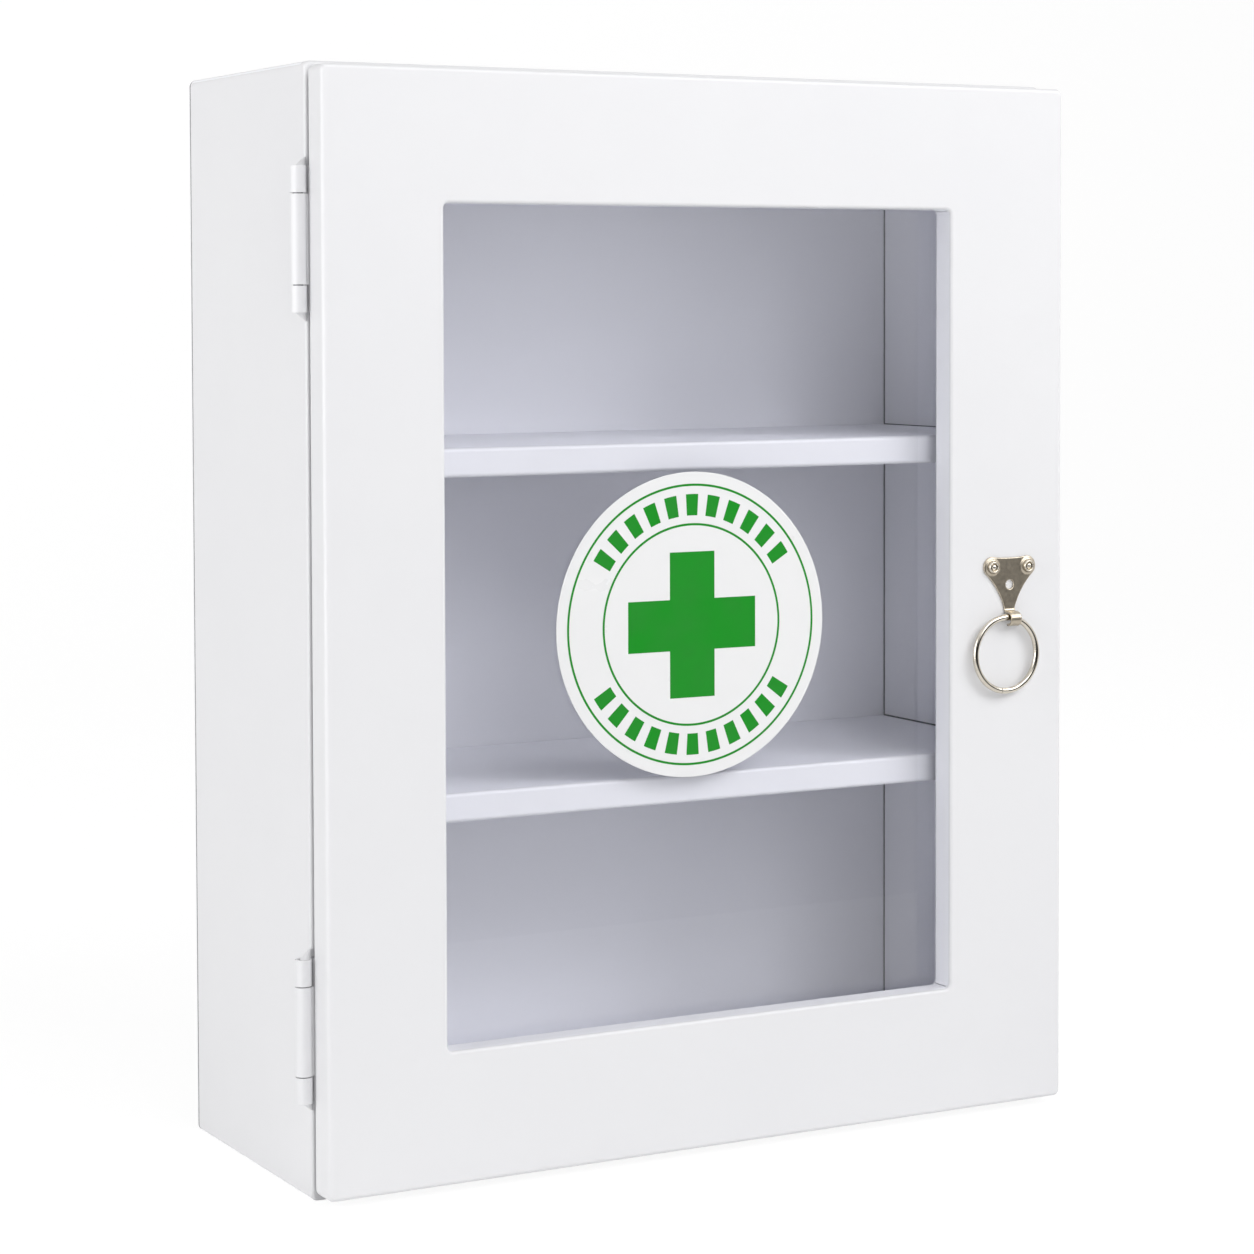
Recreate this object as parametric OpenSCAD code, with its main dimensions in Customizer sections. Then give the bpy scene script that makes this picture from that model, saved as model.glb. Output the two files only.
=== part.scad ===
// Wall cabinet for first-aid supplies: a folded sheet-steel case with two fixed shelves, a framed
// door with a clear window on two butt hinges, a magnetic catch and a drop-ring pull.
// Millimetres. X runs to the right, Y from the door towards the wall, Z up.
// The origin is the centre of the case's underside.

/* [Case] */
// Width of the case over its side walls
case_w = 312; // [260:1:420]
// Height of the case
case_h = 400; // [360:1:560]
// Depth of the case without its door
case_d = 112.5; // [90:0.5:200]
// Thickness of the folded steel sheet
sheet_t = 0.9; // [0.7:0.1:1.2]
// Outer radius of the folds of the case
case_fold_r = 1.3; // [1.2:0.1:2.2]
// Outer radius where a side wall turns into the top or the bottom
case_corner_r = 2.6; // [2.3:0.1:6]
// Width of the flange round the front opening
front_flange_w = 14; // [13:0.5:18]
// Width of the flange that the back panel is welded to
rear_flange_w = 12; // [8:0.5:20]

/* [Wall holes] */
// Diameter of the two holes for the wall screws
wall_hole_d = 6; // [4:0.5:8]
// Distance between the two wall holes
wall_hole_spacing = 200; // [120:5:220]
// Distance from the case's top down to the wall holes
wall_hole_drop = 25; // [20:1:40]

/* [Shelves] */
// Height of the lower shelf's top above the case's underside
shelf_lower_top = 139.9; // [110:0.1:148]
// Height of the upper shelf's top above the case's underside
shelf_upper_top = 264; // [225:0.5:310]
// Distance from the case's front face to the front of a shelf
shelf_setback = 2.9; // [2.5:0.1:8]
// Height of the lip folded down along a shelf's front
shelf_lip_h = 10.7; // [8:0.1:14]
// Width of the hem folded back under the lip
shelf_hem_w = 7; // [5:0.5:12]
// Height of the flanges folded down at a shelf's sides and back
shelf_flange_h = 9; // [6:0.5:14]
// Outer radius of the folds of a shelf
shelf_fold_r = 1.5; // [1.3:0.1:2]
// Clearance between a shelf and each side wall
shelf_clear = 0.3; // [0.1:0.05:0.5]

/* [Door] */
// How far the door stands out past each side of the case
door_overhang = 0; // [0:0.1:2]
// How far the door's top lies below the case's top
door_top_inset = 1.8; // [1:0.1:5]
// How far the door's bottom lies above the case's underside
door_bottom_inset = 3.2; // [1:0.1:5]
// Thickness of the door pan, over its folds
door_t = 12.5; // [12.3:0.1:16]
// Gap between the closed door and the case
door_gap = 2.65; // [2.6:0.05:3.4]
// Width of the lip folded inwards round the back of the door
door_lip_w = 14; // [13.5:0.5:18]
// Outer radius of the folds of the door
door_fold_r = 1.6; // [1.3:0.1:2.2]
// Outer radius of the door's four corners
door_corner_r = 2.4; // [2.3:0.1:6]

/* [Window] */
// Door width left of the window
window_left = 46.2; // [38:0.1:70]
// Door width right of the window
window_right = 52.1; // [46:0.1:70]
// Door height above the window
window_top = 47.4; // [38:0.1:80]
// Door height below the window
window_bottom = 47.8; // [38:0.1:80]
// Radius of the window's corners
window_corner_r = 2; // [1.5:0.5:12]
// Depth of the frame folded back round the window
window_return = 10.9; // [9:0.1:11.2]
// Width of the seat folded outwards behind the window
window_seat_w = 17; // [16:0.5:20]
// Outer radius of the folds round the window
window_fold_r = 1.3; // [1.3:0.1:2]
// Width of the mitre slits at the corners of the flanges
mitre_slit = 0.4; // [0.2:0.05:0.8]

/* [Pane] */
// Thickness of the clear pane
pane_t = 2; // [1.5:0.1:2.2]
// How far the pane laps over its seat, past the window's edge
pane_lap = 8; // [6:0.5:9]
// Thickness of the sealing tape between seat and pane
tape_t = 1; // [0.6:0.1:1.2]
// Width of the sealing tape
tape_w = 6; // [4:0.5:7]
// Width of a pane clip
clip_w = 10; // [8:0.5:14]
// Thickness of a pane clip
clip_t = 1; // [0.8:0.1:1.2]
// Reach of a pane clip's toe over the pane
clip_toe = 4; // [2:0.5:6]
// Diameter of the studs that hold the clips
stud_d = 4; // [3:0.5:4]
// Length of a stud above its seat
stud_len = 5.4; // [4.8:0.1:5.8]
// Width across flats of a clip nut
nut_af = 7; // [6.5:0.5:7.5]
// Thickness of a clip nut
nut_t = 3.2; // [2:0.1:3.4]

/* [Sticker] */
// Diameter of the round sticker on the pane
sticker_d = 113.5; // [60:0.5:150]
// Thickness of the sticker
sticker_t = 0.2; // [0.1:0.05:0.4]
// Sideways offset of the sticker from the window's centre
sticker_dx = -0.7; // [-20:0.1:20]
// Vertical offset of the sticker from the window's centre
sticker_dz = -4.5; // [-30:0.1:30]

/* [Hinges] */
// Length of a butt hinge
hinge_len = 50.8; // [40:0.1:70]
// Length of each of the two end knuckles, which belong to the case
end_knuckle_len = 9.5; // [7:0.1:13]
// Diameter of the knuckles
knuckle_d = 6; // [5.6:0.1:6.2]
// Diameter of the hinge pin
hinge_pin_d = 3.6; // [2.6:0.1:3.8]
// Radial clearance of the pin in the knuckles
pin_clear = 0.05; // [0.02:0.01:0.1]
// Thickness of a hinge leaf
leaf_t = 1.15; // [0.9:0.05:1.15]
// Reach of a leaf from the pin's axis
leaf_reach = 16.2; // [12:0.1:16.4]
// Distance of the pin's axis outside the door's edge
hinge_offset = 3.2; // [3.2:0.1:4]
// Gap between two knuckles
knuckle_gap = 0.4; // [0.3:0.05:0.6]
// Distance from the case's top down to the middle of the upper hinge
upper_hinge_drop = 62; // [45:0.1:90]
// Height of the middle of the lower hinge above the case's underside
lower_hinge_rise = 61.3; // [45:0.1:90]
// Length of the weld bead beyond each end of a hinge
bead_len = 3; // [1.5:0.1:5]

/* [Catch] */
// Height of the middle of the catch above the case's underside
catch_z = 175; // [165:1:225]
// Length of the catch's housing
catch_len = 44; // [38:1:48]
// Width of the catch's housing
catch_w = 14; // [12:0.5:16]
// Depth of the catch's housing
catch_depth = 4.6; // [4:0.1:5]
// How far the pole plates stand out of the housing
pole_proud = 0.6; // [0.3:0.1:0.9]
// Thickness of a pole plate
pole_t = 1.2; // [0.8:0.1:1.6]
// Length of the magnet and its pole plates
magnet_len = 26; // [18:1:28]
// Thickness of the magnet
magnet_t = 3.2; // [2:0.1:4]
// Thickness of the catch's bracket
bracket_t = 1.2; // [0.8:0.1:1.5]
// Length of the bracket's leg along the side wall
bracket_leg = 18; // [12:0.5:24]
// Diameter of the catch's screws
catch_screw_d = 2.9; // [2.2:0.1:3.5]
// Thickness of the strike plate
strike_t = 1.2; // [0.8:0.1:1.4]
// Height of the strike plate
strike_h = 40; // [36:1:46]
// Diameter of the rivets of the strike plate
rivet_d = 3; // [2.4:0.1:3.2]

/* [Buffers] */
// Diameter of the two door buffers
buffer_d = 8; // [6:0.5:10]
// Distance of the buffers from the case's top and underside
buffer_inset = 30; // [18:1:60]
// Clearance between a moving face and what it stops at
stop_clear = 0.3; // [0.2:0.05:0.5]

/* [Ring pull] */
// Distance of the pull's centre line from the door's free edge
pull_inset = 25.2; // [20:0.1:32]
// Height of the pull's screws above the case's underside
pull_z = 213.3; // [180:0.1:260]
// Distance between the pull's two screws
pull_screw_spacing = 16.4; // [14:0.1:22]
// Thickness of the pull's plate
pull_plate_t = 0.9; // [0.7:0.1:1.2]
// Radius of the plate's two upper lobes
pull_lobe_r = 3.9; // [3.6:0.1:5]
// Radius of the hollow sides of the plate
pull_side_r = 30; // [20:1:60]
// Distance from the screws down to the plate's spare hole
pull_hole_drop = 7; // [6:0.5:9]
// Diameter of the spare hole
pull_hole_d = 3.6; // [2:0.1:4]
// Distance from the screws down to the axis of the eye
pull_eye_drop = 20.1; // [19:0.1:26]
// Width of the tongue that is curled into the eye
pull_eye_w = 4.8; // [4:0.1:4.8]
// Inner radius of the eye
pull_eye_r = 1.95; // [1.95:0.05:2.4]
// Height of the raised bosses round the screws
pull_boss_h = 0.6; // [0.3:0.1:1]
// Diameter of the pull's screws
pull_screw_d = 3; // [2.5:0.1:3.2]
// Outer diameter of the ring
ring_d = 30.8; // [26:0.1:36]
// Diameter of the ring's wire
ring_wire_d = 2.4; // [2:0.1:2.4]
// Sideways offset of the ring from the plate's centre line
ring_shift = 3.1; // [0:0.1:3.1]
// Gap between the two ends of the ring's wire
ring_joint_gap = 0.15; // [0.1:0.05:0.4]

/* [Hidden] */
$fn = 64;

// Finishes
PAINT = [0.94, 0.94, 0.95];
PLASTIC = [0.9, 0.9, 0.88];
ZINC = [0.7, 0.71, 0.73];
NICKEL = [0.58, 0.55, 0.5];
FERRITE = [0.2, 0.2, 0.21];
FOAM = [0.85, 0.86, 0.86];

// Planes across the depth
case_front = -case_d / 2;
case_back = case_d / 2;
door_back = case_front - door_gap;
door_front = door_back - door_t;
back_inner = case_back - 2 * sheet_t;

// Inside of the case
inner_w = case_w - 2 * sheet_t;

// How far a cut runs past the faces that it opens
over = 1;

// Door and window, seen from the front
door_w = case_w + 2 * door_overhang;
door_h = case_h - door_top_inset - door_bottom_inset;
window_w = door_w - window_left - window_right;
window_h = door_h - window_top - window_bottom;
window_x = (window_left - window_right) / 2;
window_z = door_bottom_inset + window_bottom;

// Layers behind the window
seat_back = door_front + window_return;
pane_front = seat_back + tape_t;
pane_back = pane_front + pane_t;
tape_inset = 1;
clip_clear = 0.3;
nut_clear = 0.3;
stud_u = pane_lap + clip_clear + clip_t + nut_clear + nut_af / 2;
clip_end_clear = 0.6;
nut_bore_clear = 0.05;

// Hinges
hinge_x = -door_w / 2 - hinge_offset;
hinge_y = case_front - door_gap / 2;
upper_hinge_z = case_h - upper_hinge_drop;
lower_hinge_z = lower_hinge_rise;
leaf_clear = door_gap - 2 * leaf_t;
door_knuckle_len = hinge_len - 2 * end_knuckle_len;
knuckle_reach = knuckle_d / 2 + knuckle_gap;
pin_end_inset = 0.5;
weld_spot_d = 4.4;
weld_spot_depth = 0.25;
leaf_corner_r = 3;
bead_root_r = 1.9;
bead_tip_r = 0.5;
bead_root = [0.9, 0.4];
bead_lean = [0.75, 0.35];
bead_lap = 0.2;

// Catch
wall_x = inner_w / 2;
catch_x = case_w / 2 - front_flange_w - 4 - catch_w / 2;
strike_back = door_back + strike_t;
pole_front = strike_back + stop_clear;
catch_front = pole_front + pole_proud;
catch_back = catch_front + catch_depth;
bracket_w = wall_x - catch_x + catch_w / 2 + 2;
catch_screw_dz = catch_len / 2 - 4;
catch_head_d = 2 * catch_screw_d - 0.4;
catch_head_h = 1.7;
catch_recess_clear = 0.2;
catch_head_drop = 0.3;
magnet_drop = 0.2;
magnet_floor = 1;
catch_screw_tail = 3;
cross_len = 2.8;
cross_w = 0.7;
cross_depth = 0.8;
fit_clear = 0.05;
strike_w = door_w / 2 - 2 - (catch_x - catch_w / 2);
strike_x = door_w / 2 - 2 - strike_w / 2;
rivet_x = door_w / 2 - door_lip_w / 2;
rivet_dz = strike_h / 2 - 8;
rivet_head_h = 0.8;
rivet_head_d = 2 * rivet_d;
rivet_face_d = 1.4 * rivet_d;
rivet_shop_d = [1.2 * rivet_d, 1.6 * rivet_d];

// Ring pull
pull_x = door_w / 2 - pull_inset;
pull_plate_front = door_front - pull_plate_t;
pull_top_sag = 0.5;
boss_r = 3.4;
boss_top_r = 2.7;
eye_mid_r = pull_eye_r + pull_plate_t / 2;
bend_mid_r = 1.6;
eye_y = door_front - pull_eye_r - pull_plate_t;
eye_z = pull_z - pull_eye_drop;
bend_y = door_front - pull_plate_t / 2 - bend_mid_r;
bend_rise = sqrt(pow(bend_mid_r + eye_mid_r, 2) - pow(bend_y - eye_y, 2));
bend_z = eye_z + bend_rise;
bend_angle = atan2(bend_rise, bend_y - eye_y);
bend_lap = 2;
eye_open = 70;
ring_r = (ring_d - ring_wire_d) / 2;
ring_x = pull_x - ring_shift;
ring_z = eye_z - (sqrt(pow(ring_r, 2) - pow(ring_shift - pull_eye_w / 2, 2))
    + sqrt(pow(ring_r, 2) - pow(ring_shift + pull_eye_w / 2, 2))) / 2;
ring_joint_angle = -99;
pull_head_r = 2.25;
pull_head_h = 1.2;
pull_head_crown = 0.48;
pull_head_top_r = 0.7 * pull_head_r;
pull_dimple_r = 0.35 * pull_head_r;
pull_dimple_depth = 0.4;
pull_screw_tail = 1;
pull_nut_af = 5.5;
pull_nut_t = 2.4;

// One folded corner of a sheet: a leg a along X and a leg b along Y, with the fold at the origin
module folded_angle(a, b, r) {
    translate([r, 0]) square([a - r, sheet_t]);
    translate([0, r]) square([sheet_t, b - r]);
    intersection() {
        translate([r, r]) difference() {
            circle(r);
            circle(r - sheet_t);
        }
        square(r);
    }
}

// A sheet folded twice into a channel: a wall along Y with one flange along X at each end
module folded_channel(depth, first_w, last_w, r) {
    folded_angle(first_w, depth / 2, r);
    translate([0, depth]) mirror([0, 1]) folded_angle(last_w, depth / 2, r);
}

// Repeats its children at the left and right
module both_sides() {
    children();
    mirror([1, 0, 0]) children();
}

// Repeats its children at the bottom and the top of a frame of height h
module both_ends(h) {
    children();
    translate([0, 0, h]) mirror([0, 0, 1]) children();
}

// Carries a profile round the inside of a w by h rectangle with outer corners of radius r.
// The profile's X is the distance inwards from the outer face, its Y the depth.
module frame_inwards(w, h, r) {
    both_sides() translate([-w / 2, 0, r]) linear_extrude(h - 2 * r) children();
    both_ends(h) rotate([0, -90, 0]) linear_extrude(w - 2 * r, center = true) children();
    both_sides() both_ends(h) translate([w / 2 - r, 0, r]) rotate([-90, 0, 0])
        rotate_extrude(angle = 90) intersection() {
            translate([r, 0]) mirror([1, 0]) children();
            square([r, case_d + door_t]);
        }
}

// Carries a profile round the outside of a w by h opening with corners of radius r.
// The profile's X is the distance outwards from the opening's edge, its Y the depth.
module frame_outwards(w, h, r) {
    both_sides() translate([w / 2, 0, r]) linear_extrude(h - 2 * r) children();
    both_ends(h) translate([0, 0, h]) rotate([0, -90, 0])
        linear_extrude(w - 2 * r, center = true) children();
    both_sides() both_ends(h) translate([w / 2 - r, 0, r]) rotate([-90, 0, 0])
        rotate_extrude(angle = 90) translate([r, 0]) children();
}

// A plate in the XZ plane with corners of radius r, its underside at z = 0
module upright_plate(w, h, t, r) {
    translate([0, t, 0]) rotate([90, 0, 0]) linear_extrude(t) rounded_rectangle(w, h, r);
}

// A rectangle that stands on the X axis, with corners of radius r
module rounded_rectangle(w, h, r) {
    translate([-w / 2 + r, 0]) square([w - 2 * r, h]);
    translate([-w / 2, r]) square([w, h - 2 * r]);
    for (x = [-w / 2 + r, w / 2 - r], z = [r, h - r]) translate([x, z]) circle(r);
}

// Thin 45 degree cuts at the four corners of a w by h frame, from start to end along the
// diagonal and from y0 to y1 in depth. Positive distances run out from the corner.
module mitre_cuts(w, h, start, end, y0, y1) {
    both_sides() both_ends(h) translate([w / 2, y0, 0]) rotate([0, 45, 0])
        translate([start, 0, -mitre_slit / 2]) cube([end - start, y1 - y0, mitre_slit]);
}

// A hexagonal nut along +Y with its bore
module nut(af, t, bore_d) {
    rotate([-90, 0, 0]) difference() {
        cylinder(d = af / cos(30), h = t, $fn = 6);
        translate([0, 0, -1]) cylinder(d = bore_d, h = t + 2);
    }
}

// ---- Case ----

// Top, bottom and sides folded from one strip, with a flange at the front and one at the back
module case_wrap() {
    color(PAINT) difference() {
        translate([0, case_front, 0]) frame_inwards(case_w, case_h, case_corner_r)
            folded_channel(case_d, front_flange_w, rear_flange_w, case_fold_r);
        mitre_cuts(case_w, case_h, -sqrt(2) * front_flange_w - over, -sqrt(2) * case_corner_r,
            case_front - over, case_front + sheet_t + over);
        mitre_cuts(case_w, case_h, -sqrt(2) * rear_flange_w - over, -sqrt(2) * case_corner_r,
            case_back - sheet_t - over, case_back + over);
    }
}

// Flat panel welded to the inside of the rear flange, with the two wall holes
module back_panel() {
    panel_w = case_w - 2 * case_fold_r;
    panel_h = case_h - 2 * case_fold_r;
    color(PAINT) difference() {
        translate([0, back_inner, case_fold_r])
            upright_plate(panel_w, panel_h, sheet_t, case_corner_r - case_fold_r);
        for (side = [-1, 1])
            translate([side * wall_hole_spacing / 2, back_inner - 1, case_h - wall_hole_drop])
                rotate([-90, 0, 0]) cylinder(d = wall_hole_d, h = sheet_t + 2);
    }
}

// A shelf folded down on all four sides, with a hemmed lip in front, its top at z
module shelf(z) {
    depth = back_inner - case_front - shelf_setback;
    width = inner_w - 2 * shelf_clear;
    r = shelf_fold_r;
    color(PAINT) translate([0, case_front + shelf_setback, z]) {
        rotate([90, 0, 90]) linear_extrude(width - 2 * r, center = true) {
            mirror([0, 1]) folded_angle(depth / 2, shelf_lip_h / 2, r);
            translate([0, -shelf_lip_h]) folded_angle(shelf_hem_w, shelf_lip_h / 2, r);
            translate([depth, 0]) mirror([1, 0]) mirror([0, 1])
                folded_angle(depth / 2, shelf_flange_h, r);
        }
        both_sides() translate([-width / 2, depth - r, 0]) rotate([90, 0, 0])
            linear_extrude(depth - 2 * r) mirror([0, 1])
                folded_angle(2 * r, shelf_flange_h, r);
    }
}

module shelf_upper() {
    shelf(shelf_upper_top);
}

module shelf_lower() {
    shelf(shelf_lower_top);
}

// ---- Hinges, drawn round the pin's axis with the leaves to the right ----

// The flat part of a leaf between y and y + leaf_t
module leaf_plate(y) {
    translate([0, y + leaf_t, -hinge_len / 2]) rotate([90, 0, 0]) linear_extrude(leaf_t) {
        square([leaf_reach - leaf_corner_r, hinge_len]);
        translate([0, leaf_corner_r]) square([leaf_reach, hinge_len - 2 * leaf_corner_r]);
        for (z = [leaf_corner_r, hinge_len - leaf_corner_r])
            translate([leaf_reach - leaf_corner_r, z]) circle(leaf_corner_r);
    }
}

// Three shallow marks of the spot welds on the leaf's free face
module weld_spots(y) {
    for (z = [-hinge_len / 3, 0, hinge_len / 3])
        translate([leaf_reach - 5, y, z]) rotate([90, 0, 0])
            cylinder(d = weld_spot_d, h = 2 * weld_spot_depth, center = true);
}

module knuckle_bore() {
    cylinder(r = hinge_pin_d / 2 + pin_clear, h = hinge_len + 2, center = true);
}

// Leaf with the two end knuckles and a bead at each end that joins it to the case's corner
module case_leaf(z) {
    corner_dx = -case_w / 2 - hinge_x;
    color(PAINT) translate([hinge_x, hinge_y, z]) {
        difference() {
            union() {
                leaf_plate(leaf_clear / 2);
                for (side = [-1, 1]) translate([0, 0, side * (hinge_len - end_knuckle_len) / 2])
                    cylinder(d = knuckle_d, h = end_knuckle_len, center = true);
            }
            knuckle_bore();
            cube([2 * knuckle_reach, 2 * knuckle_reach, door_knuckle_len + knuckle_gap],
                center = true);
            weld_spots(leaf_clear / 2);
        }
        for (end = [0, 1]) mirror([0, 0, end]) difference() {
            translate([bead_root.x, bead_root.y, hinge_len / 2 - bead_lap])
                multmatrix([[1, 0, bead_lean.x, 0], [0, 1, bead_lean.y, 0], [0, 0, 1, 0]])
                    cylinder(r1 = bead_root_r, r2 = bead_tip_r, h = bead_len + bead_lap);
            translate([corner_dx, door_gap / 2, 0]) cube(hinge_len);
        }
    }
}

// Leaf with the long middle knuckle
module door_leaf(z) {
    color(PAINT) translate([hinge_x, hinge_y, z]) difference() {
        union() {
            leaf_plate(-leaf_clear / 2 - leaf_t);
            cylinder(d = knuckle_d, h = door_knuckle_len - knuckle_gap, center = true);
        }
        knuckle_bore();
        for (side = [-1, 1]) translate([0, 0, side * (hinge_len - end_knuckle_len + over) / 2])
            cube([2 * knuckle_reach, 2 * knuckle_reach, end_knuckle_len + knuckle_gap + over],
                center = true);
        weld_spots(-leaf_clear / 2);
    }
}

module hinge_pin(z) {
    color(ZINC) translate([hinge_x, hinge_y, z])
        cylinder(d = hinge_pin_d, h = hinge_len - 2 * pin_end_inset, center = true);
}

module hinge_upper_case_leaf() {
    case_leaf(upper_hinge_z);
}

module hinge_lower_case_leaf() {
    case_leaf(lower_hinge_z);
}

module hinge_upper_door_leaf() {
    door_leaf(upper_hinge_z);
}

module hinge_lower_door_leaf() {
    door_leaf(lower_hinge_z);
}

module hinge_upper_pin() {
    hinge_pin(upper_hinge_z);
}

module hinge_lower_pin() {
    hinge_pin(lower_hinge_z);
}

// ---- Catch on the right side wall ----

// Repeats its children at the catch's two screws, along +Y from the housing's front
module at_catch_screws() {
    for (side = [-1, 1]) translate([catch_x, catch_front, catch_z + side * catch_screw_dz])
        rotate([-90, 0, 0]) children();
}

// Folded bracket: one leg welded to the wall, one behind the catch
module catch_bracket() {
    r = 2 * bracket_t;
    color(PAINT) difference() {
        translate([wall_x, catch_back, catch_z - catch_len / 2]) linear_extrude(catch_len)
            mirror([1, 0]) difference() {
                union() {
                    translate([r, 0]) square([bracket_w - r, bracket_t]);
                    translate([0, r]) square([bracket_t, bracket_leg - r]);
                    intersection() {
                        translate([r, r]) circle(r);
                        square(r);
                    }
                }
                translate([r, r]) circle(r - bracket_t);
            }
        at_catch_screws() cylinder(r = catch_screw_d / 2 + fit_clear, h = catch_depth * 2);
    }
}

// Moulded housing with a pocket for the magnet and a counterbored hole at each end
module catch_housing() {
    pocket_w = magnet_t + 2 * pole_t + 2 * fit_clear;
    pocket_len = magnet_len + 2 * fit_clear;
    color(PLASTIC) difference() {
        translate([catch_x, catch_front, catch_z - catch_len / 2])
            upright_plate(catch_w, catch_len, catch_depth, 3);
        translate([catch_x - pocket_w / 2, catch_front - magnet_floor, catch_z - pocket_len / 2])
            cube([pocket_w, catch_depth, pocket_len]);
        at_catch_screws() translate([0, 0, -over]) {
            cylinder(r = catch_screw_d / 2 + fit_clear, h = catch_depth + 2 * over);
            cylinder(d = catch_head_d + 2 * catch_recess_clear,
                h = over + catch_head_h + catch_head_drop);
        }
    }
}

module catch_magnet() {
    color(FERRITE)
        translate([catch_x - magnet_t / 2, catch_front + magnet_drop, catch_z - magnet_len / 2])
            cube([magnet_t, catch_depth - magnet_floor - magnet_drop, magnet_len]);
}

// Two steel plates on the magnet's sides, which reach the strike plate
module catch_pole_plates() {
    color(ZINC) for (side = [-1, 1])
        translate([catch_x + side * (magnet_t + pole_t) / 2, pole_front,
            catch_z - magnet_len / 2])
            translate([-pole_t / 2, 0, 0])
                cube([pole_t, catch_depth - magnet_floor + pole_proud, magnet_len]);
}

// Pan-head screws through the housing into the bracket
module catch_screws() {
    color(ZINC) at_catch_screws() translate([0, 0, catch_head_drop]) difference() {
        union() {
            cylinder(d = catch_head_d, h = catch_head_h);
            cylinder(d = catch_screw_d, h = catch_depth + bracket_t + catch_screw_tail);
        }
        for (turn = [0, 90]) rotate(turn)
            cube([cross_len, cross_w, 2 * cross_depth], center = true);
    }
}

// Soft pads on the right front flange that the door closes against
module door_buffers() {
    h = door_gap - stop_clear;
    color(PLASTIC) for (z = [buffer_inset, case_h - buffer_inset])
        translate([case_w / 2 - front_flange_w / 2, case_front, z]) rotate([90, 0, 0])
            cylinder(d1 = buffer_d, d2 = 0.75 * buffer_d, h = h);
}

// ---- Door ----

// Repeats its children at the pull's two screws, along +Y from the plate's front
module at_pull_screws() {
    for (side = [-1, 1])
        translate([pull_x + side * pull_screw_spacing / 2, pull_plate_front, pull_z])
            rotate([-90, 0, 0]) children();
}

// Repeats its children at the strike plate's two rivets, along +Y from the door's back
module at_rivets() {
    for (side = [-1, 1]) translate([rivet_x, door_back, catch_z + side * rivet_dz])
        rotate([-90, 0, 0]) children();
}

// Skin, outer folds and window frame of the door, all folded from one sheet
module door_pan() {
    lap = 1;
    color(PAINT) difference() {
        union() {
            translate([0, door_front, door_bottom_inset]) {
                frame_inwards(door_w, door_h, door_corner_r) folded_channel(door_t,
                    door_corner_r + lap, door_lip_w, door_fold_r);
            }
            translate([window_x, door_front, window_z])
                frame_outwards(window_w, window_h, window_corner_r) folded_channel(window_return,
                    window_fold_r + lap, window_seat_w, window_fold_r);
            difference() {
                translate([0, door_front, door_bottom_inset + door_corner_r])
                    upright_plate(door_w - 2 * door_corner_r, door_h - 2 * door_corner_r,
                        sheet_t, lap);
                translate([window_x, door_front - 1, window_z - window_fold_r])
                    upright_plate(window_w + 2 * window_fold_r, window_h + 2 * window_fold_r,
                        sheet_t + 2, window_corner_r + window_fold_r);
            }
        }
        translate([window_x, 0, window_z]) mitre_cuts(window_w, window_h, -window_corner_r,
            2 * window_seat_w, door_front + window_fold_r + sheet_t, seat_back + 1);
        translate([0, 0, door_bottom_inset]) mitre_cuts(door_w, door_h,
            -sqrt(2) * door_lip_w - over, -sqrt(2) * door_corner_r,
            door_back - sheet_t - over, door_back + over);
        at_pull_screws() cylinder(r = pull_screw_d / 2 + fit_clear, h = 2 * sheet_t + 2);
        at_rivets() cylinder(r = rivet_d / 2 + fit_clear, h = 4 * sheet_t, center = true);
    }
}

// Soft tape round the window, between the folded seat and the pane
module sealing_tape() {
    color(FOAM) translate([window_x, seat_back, window_z])
        frame_outwards(window_w, window_h, window_corner_r)
            translate([tape_inset, 0]) square([tape_w, tape_t]);
}

module window_pane() {
    color([0.85, 0.93, 0.95, 0.3]) translate([window_x, pane_front, window_z - pane_lap])
        upright_plate(window_w + 2 * pane_lap, window_h + 2 * pane_lap, pane_t,
            window_corner_r / 2);
}

// Repeats its children at the six clips: the children's X runs outwards from the window's edge
module at_clips() {
    mid_z = window_z + window_h / 2;
    translate([window_x, 0, mid_z]) {
        both_sides() for (side = [-1, 1])
            translate([window_w / 2, 0, side * window_h / 4]) children();
        for (end = [0, 1]) mirror([0, 0, end])
            translate([0, 0, window_h / 2]) rotate([0, -90, 0]) children();
    }
}

// Stepped clips: the foot lies on the seat, the toe on the pane
module pane_clips() {
    step = pane_back - seat_back;
    rise_u = pane_lap + clip_clear;
    color(ZINC) at_clips() translate([0, seat_back, 0]) difference() {
        translate([0, 0, -clip_w / 2]) linear_extrude(clip_w) {
            translate([pane_lap - clip_toe, step])
                square([clip_toe + clip_clear + clip_t, clip_t]);
            translate([rise_u, 0]) square([clip_t, step + clip_t]);
            translate([rise_u, 0]) square([window_seat_w - clip_end_clear - rise_u, clip_t]);
        }
        translate([stud_u, -1, 0]) rotate([-90, 0, 0])
            cylinder(r = stud_d / 2 + fit_clear, h = clip_t + 2);
    }
}

// Threaded studs welded to the seat
module clip_studs() {
    color(ZINC) at_clips() translate([stud_u, seat_back, 0]) rotate([-90, 0, 0])
        cylinder(d = stud_d, h = stud_len);
}

module clip_nuts() {
    color(ZINC) at_clips() translate([stud_u, seat_back + clip_t, 0])
        rotate([0, 30, 0]) nut(nut_af, nut_t, stud_d + 2 * nut_bore_clear);
}

module sticker() {
    color("white") translate([window_x + sticker_dx, pane_front, window_z + window_h / 2 + sticker_dz])
        rotate([90, 0, 0]) cylinder(d = sticker_d, h = sticker_t, $fn = 180);
}

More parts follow.
